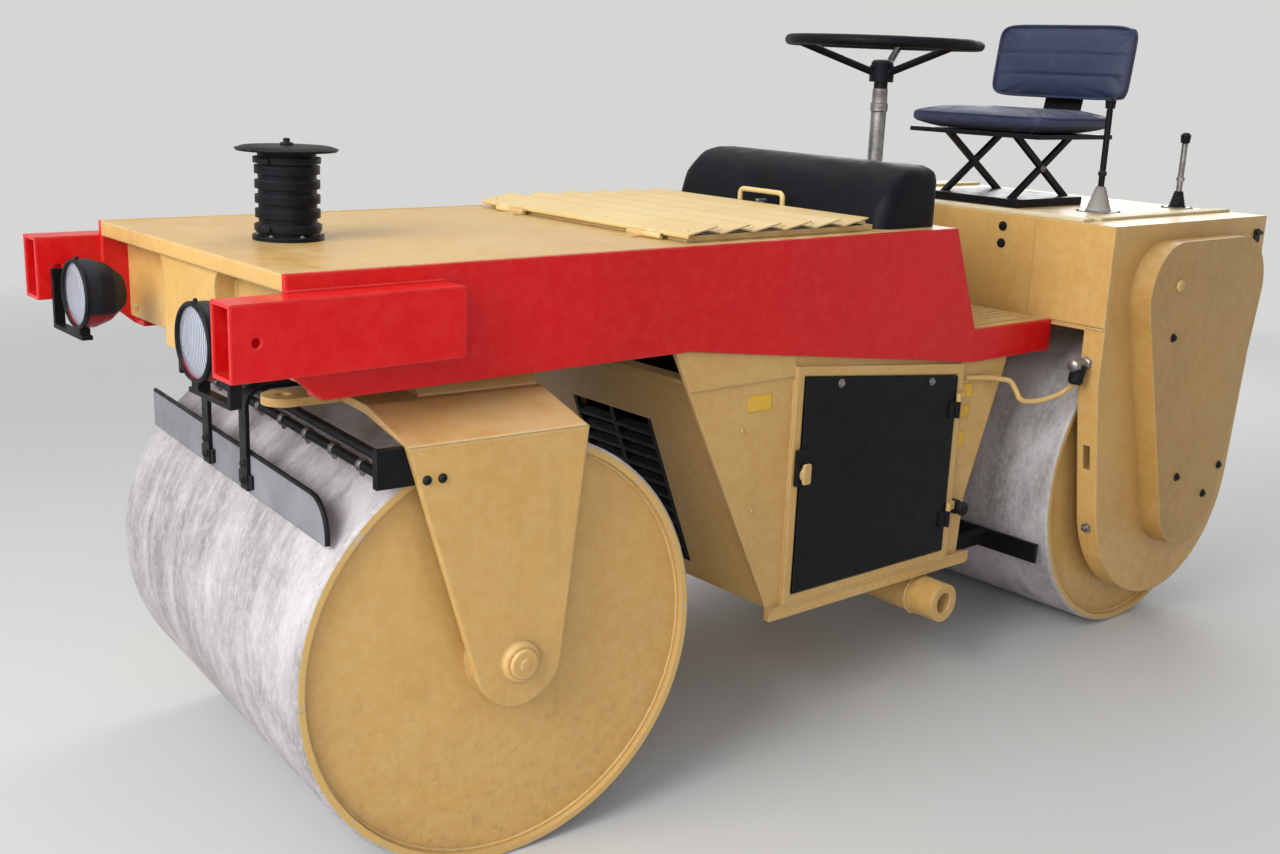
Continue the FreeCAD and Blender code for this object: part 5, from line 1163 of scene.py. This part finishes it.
def make_engine_pieces():
    low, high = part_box("engine_block")
    top = high.z
    middle_x = (low.x + high.x) / 2
    cover = bmesh.new()
    add_plate(cover, (middle_x, 0, top), UP, AHEAD, 0.19, 0.30, 0.042, 0.030, 0.012)
    for ahead in (-0.125, -0.042, 0.042, 0.125):
        for left in (-0.078, 0.078):
            add_bolt(cover, Vector((middle_x + ahead, left, top + 0.042)), UP, 0.0055)
    for rib in range(5):
        add_plate(cover, (middle_x - 0.08 + 0.04 * rib, 0, top + 0.042), UP, AHEAD, 0.110, 0.010, 0.005, 0.004, 0.002)
    new_piece("rocker_cover", cover, "engine_iron", "chassis")
    cap = bmesh.new()
    add_revolved(cap, [(0, -SINK), (0.024, -SINK), (0.024, 0.006), (0.021, 0.008), (0.021, 0.020), (0.018, 0.024),
                       (0, 0.024)], (middle_x - 0.14 + 0.012, 0, top + 0.042), UP, 12)
    new_piece("oil_cap", cap, "black_plastic", "chassis")
    for side, sign in SIDES:
        out = LEFT * sign
        face = high.y if sign > 0 else low.y
        source = bmesh.new()
        dark = bmesh.new()
        filters = bmesh.new()
        if sign > 0:
            for x, z, radius in ((-0.02, 0.56, 0.072), (-0.15, 0.74, 0.040)):
                add_revolved(dark, [(0, -SINK), (radius, -SINK), (radius, 0.006), (radius - 0.007, 0.012),
                                    (radius, 0.018), (radius, 0.024), (radius * 0.45, 0.024),
                                    (radius * 0.45, 0.030), (0, 0.030)], (x, face, z), out, 40)
                add_bolt(source, Vector((x, face + 0.030, z)), out, 0.010)
            rise = Vector((-0.13, 0, 0.18)).normalized()
            over = Vector((-rise.z, 0, rise.x))
            for shift in (1, -1):
                first = Vector((-0.02, face + 0.012, 0.56)) + over * (0.067 * shift)
                second = Vector((-0.15, face + 0.012, 0.74)) + over * (0.036 * shift)
                run = second - first
                add_plate(dark, first + run / 2 - LEFT * 0.004, out, run, 0.006, run.length, 0.009, 0.002, 0.001)
        else:
            for index in range(4):
                x = middle_x - 0.12 + 0.08 * index
                add_disc(dark, Vector((x, face, 0.86)), out, 0.017, 0.030, 0.004, 20)
                add_bolt(source, Vector((x, face - 0.030, 0.86)), out, 0.008)
        place = Vector((0.085, face, 0.50))
        add_revolved(filters, [(0, -SINK), (0.030, -SINK), (0.030, 0.010), (0.038, 0.016), (0.038, 0.086),
                               (0.034, 0.094), (0.020, 0.096), (0.018, 0.090), (0, 0.090)], place, out, 32)
        for x in (-0.21, 0.09):
            for z in (0.36, 0.90):
                add_bolt(source, Vector((x, face, z)), out, 0.009)
        for rib in range(6):
            add_plate(source, (-0.15 + 0.055 * rib, face, 0.42), out, UP, 0.012, 0.13, 0.008, 0.004, 0.002)
        new_piece("engine_pulleys_" + side, dark, "wire_rubber", "chassis")
        new_piece("engine_filter_" + side, filters, "black_paint", "chassis")
        new_piece("engine_bolts_" + side, source, "engine_iron", "chassis")


def make_tail_pieces():
    """Guessed: two red reflectors, corner bolts and a bare plate on the platform's rear face."""
    back = -AHEAD
    rims = bmesh.new()
    lenses = bmesh.new()
    bolts = bmesh.new()
    for side, sign in SIDES:
        place = surface("platform_box", (-1.3, 0.405 * sign, 0.965), back)
        add_revolved(rims, [(0.0260, -SINK), (0.0340, -SINK), (0.0340, 0.007), (0.0315, 0.0095), (0.0260, 0.0075),
                            (0.0260, -SINK)], place, back, 40)
        add_revolved(lenses, [(0, -SINK), (0.0265, -SINK), (0.0265, 0.0065), (0.0180, 0.0090), (0, 0.0098)],
                     place, back, 40)
        for y, z in ((0.500, 1.060), (0.500, 0.870), (0.300, 1.060), (0.300, 0.870)):
            add_bolt(bolts, surface("platform_box", (-1.3, y * sign, z), back), back, 0.0065)
    new_piece("reflector_rims", rims, "black_paint", "chassis")
    new_piece("reflector_lenses", lenses, "reflector_red", "chassis")
    new_piece("platform_rear_bolts", bolts, "bare_steel", "chassis")
    plate = bmesh.new()
    place = surface("platform_box", (-1.3, 0, 0.975), back)
    add_plate(plate, place, back, UP, 0.240, 0.110, 0.002, 0.008, 0.0006)
    new_piece("bare_plate", plate, "lit_louvre_paint", "chassis")
    screws = bmesh.new()
    for left in (-0.106, 0.106):
        for rise in (-0.042, 0.042):
            add_disc(screws, place + LEFT * left + UP * rise + back * 0.002, back, 0.0035, 0.002, 0.0008, 16)
    new_piece("bare_plate_screws", screws, "bare_steel", "chassis")


# Operator's floor: a ribbed plate on the footplate

def make_mat():
    source = bmesh.new()
    low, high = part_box("footwell")
    front = -0.315
    rear = -0.700
    top = surface("footwell", (-0.5, 0.2, 1.0), UP).z
    add_plate(source, ((front + rear) / 2, 0, top), UP, AHEAD, 0.70, front - rear, 0.003, 0.012, 0.001)
    count = 26
    for rib in range(count):
        place_y = -0.335 + 0.67 * rib / (count - 1)
        for part_x, part_length in ((-0.375, 0.09), (-0.61, 0.15)):
            add_plate(source, (part_x, place_y, top + 0.003), UP, AHEAD, 0.010, part_length, 0.003, 0.004, 0.001)
    new_piece("footwell_ribs", source, "paint_tan", "chassis")


make_fork_pieces()
make_drum_pieces()
make_front_pieces()
make_cover_pieces()
make_louvres()
make_console()
make_wheel_pieces()
make_lever_pieces()
make_side_pieces()
make_rear_strap()
make_engine_pieces()
make_tail_pieces()
make_mat()


# Floor, light and world

FLOOR_REACH = 40.0
FADE_NEAR = 2.6
FADE_FAR = 6.5
BACKDROP = linear(214, 214, 212)
FLOOR_COLOUR = linear(196, 196, 194)


def make_floor():
    source = bmesh.new()
    bmesh.ops.create_grid(source, x_segments=1, y_segments=1, size=FLOOR_REACH)
    mesh = bpy.data.meshes.new("floor")
    source.to_mesh(mesh)
    source.free()
    floor = bpy.data.objects.new("floor", mesh)
    bpy.context.scene.collection.objects.link(floor)
    shader = Shader("floor")
    shader.finish(FLOOR_COLOUR, 0.75)
    away = shader.add("ShaderNodeVectorMath", operation="LENGTH")
    shader.link(shader.place, away.inputs[0])
    fade = shader.ramp(away.outputs["Value"], FADE_NEAR, FADE_FAR)
    glow = shader.add("ShaderNodeEmission")
    glow.inputs["Color"].default_value = BACKDROP
    both = shader.add("ShaderNodeMixShader")
    shader.link(shader.maths("MULTIPLY", fade, seen_ray(shader.tree)), both.inputs["Fac"])
    shader.link(shader.surface.outputs["BSDF"], both.inputs[1])
    shader.link(glow.outputs["Emission"], both.inputs[2])
    shader.link(both.outputs["Shader"], shader.tree.nodes["Material Output"].inputs["Surface"])
    mesh.materials.append(shader.material)


def seen_ray(tree):
    """1 for a ray from the camera, a mirror or glass, which shows the backdrop."""
    path = tree.nodes.new("ShaderNodeLightPath")
    total = path.outputs["Is Camera Ray"]
    for name in ("Is Glossy Ray", "Is Transmission Ray"):
        either = tree.nodes.new("ShaderNodeMath")
        either.operation = "MAXIMUM"
        tree.links.new(total, either.inputs[0])
        tree.links.new(path.outputs[name], either.inputs[1])
        total = either.outputs["Value"]
    return total


def add_area(name, place, target, size, power, tint=(1, 1, 1)):
    data = bpy.data.lights.new(name, "AREA")
    data.shape = "DISK"
    data.size = size
    data.energy = power
    data.color = tint
    lamp = bpy.data.objects.new(name, data)
    bpy.context.scene.collection.objects.link(lamp)
    aim = (Vector(target) - Vector(place)).normalized()
    lamp.matrix_world = Matrix.Translation(place) @ aim.to_track_quat("-Z", "Y").to_matrix().to_4x4()


WORLD_LIGHT = 0.55


def make_light():
    world = bpy.data.worlds.new("world")
    bpy.context.scene.world = world
    world.use_nodes = True
    tree = world.node_tree
    ground = tree.nodes["Background"]
    ground.inputs["Color"].default_value = linear(226, 230, 236)
    ground.inputs["Strength"].default_value = WORLD_LIGHT
    shown = tree.nodes.new("ShaderNodeBackground")
    shown.inputs["Color"].default_value = BACKDROP
    either = tree.nodes.new("ShaderNodeMixShader")
    tree.links.new(seen_ray(tree), either.inputs["Fac"])
    tree.links.new(ground.outputs["Background"], either.inputs[1])
    tree.links.new(shown.outputs["Background"], either.inputs[2])
    tree.links.new(either.outputs["Shader"], tree.nodes["World Output"].inputs["Surface"])
    add_area("key", (5.4, 0.9, 3.5), (0.2, 0, 0.5), 4.0, 350)
    add_area("side", (3.3, 3.5, 1.8), (0.8, 0, 0.4), 2.6, 48)
    add_area("top", (-0.6, -0.8, 4.6), (-0.2, 0, 0.8), 3.5, 46)
    add_area("rear", (-4.4, -2.0, 2.6), (-0.4, 0, 0.7), 3.0, 90)


make_floor()
make_light()
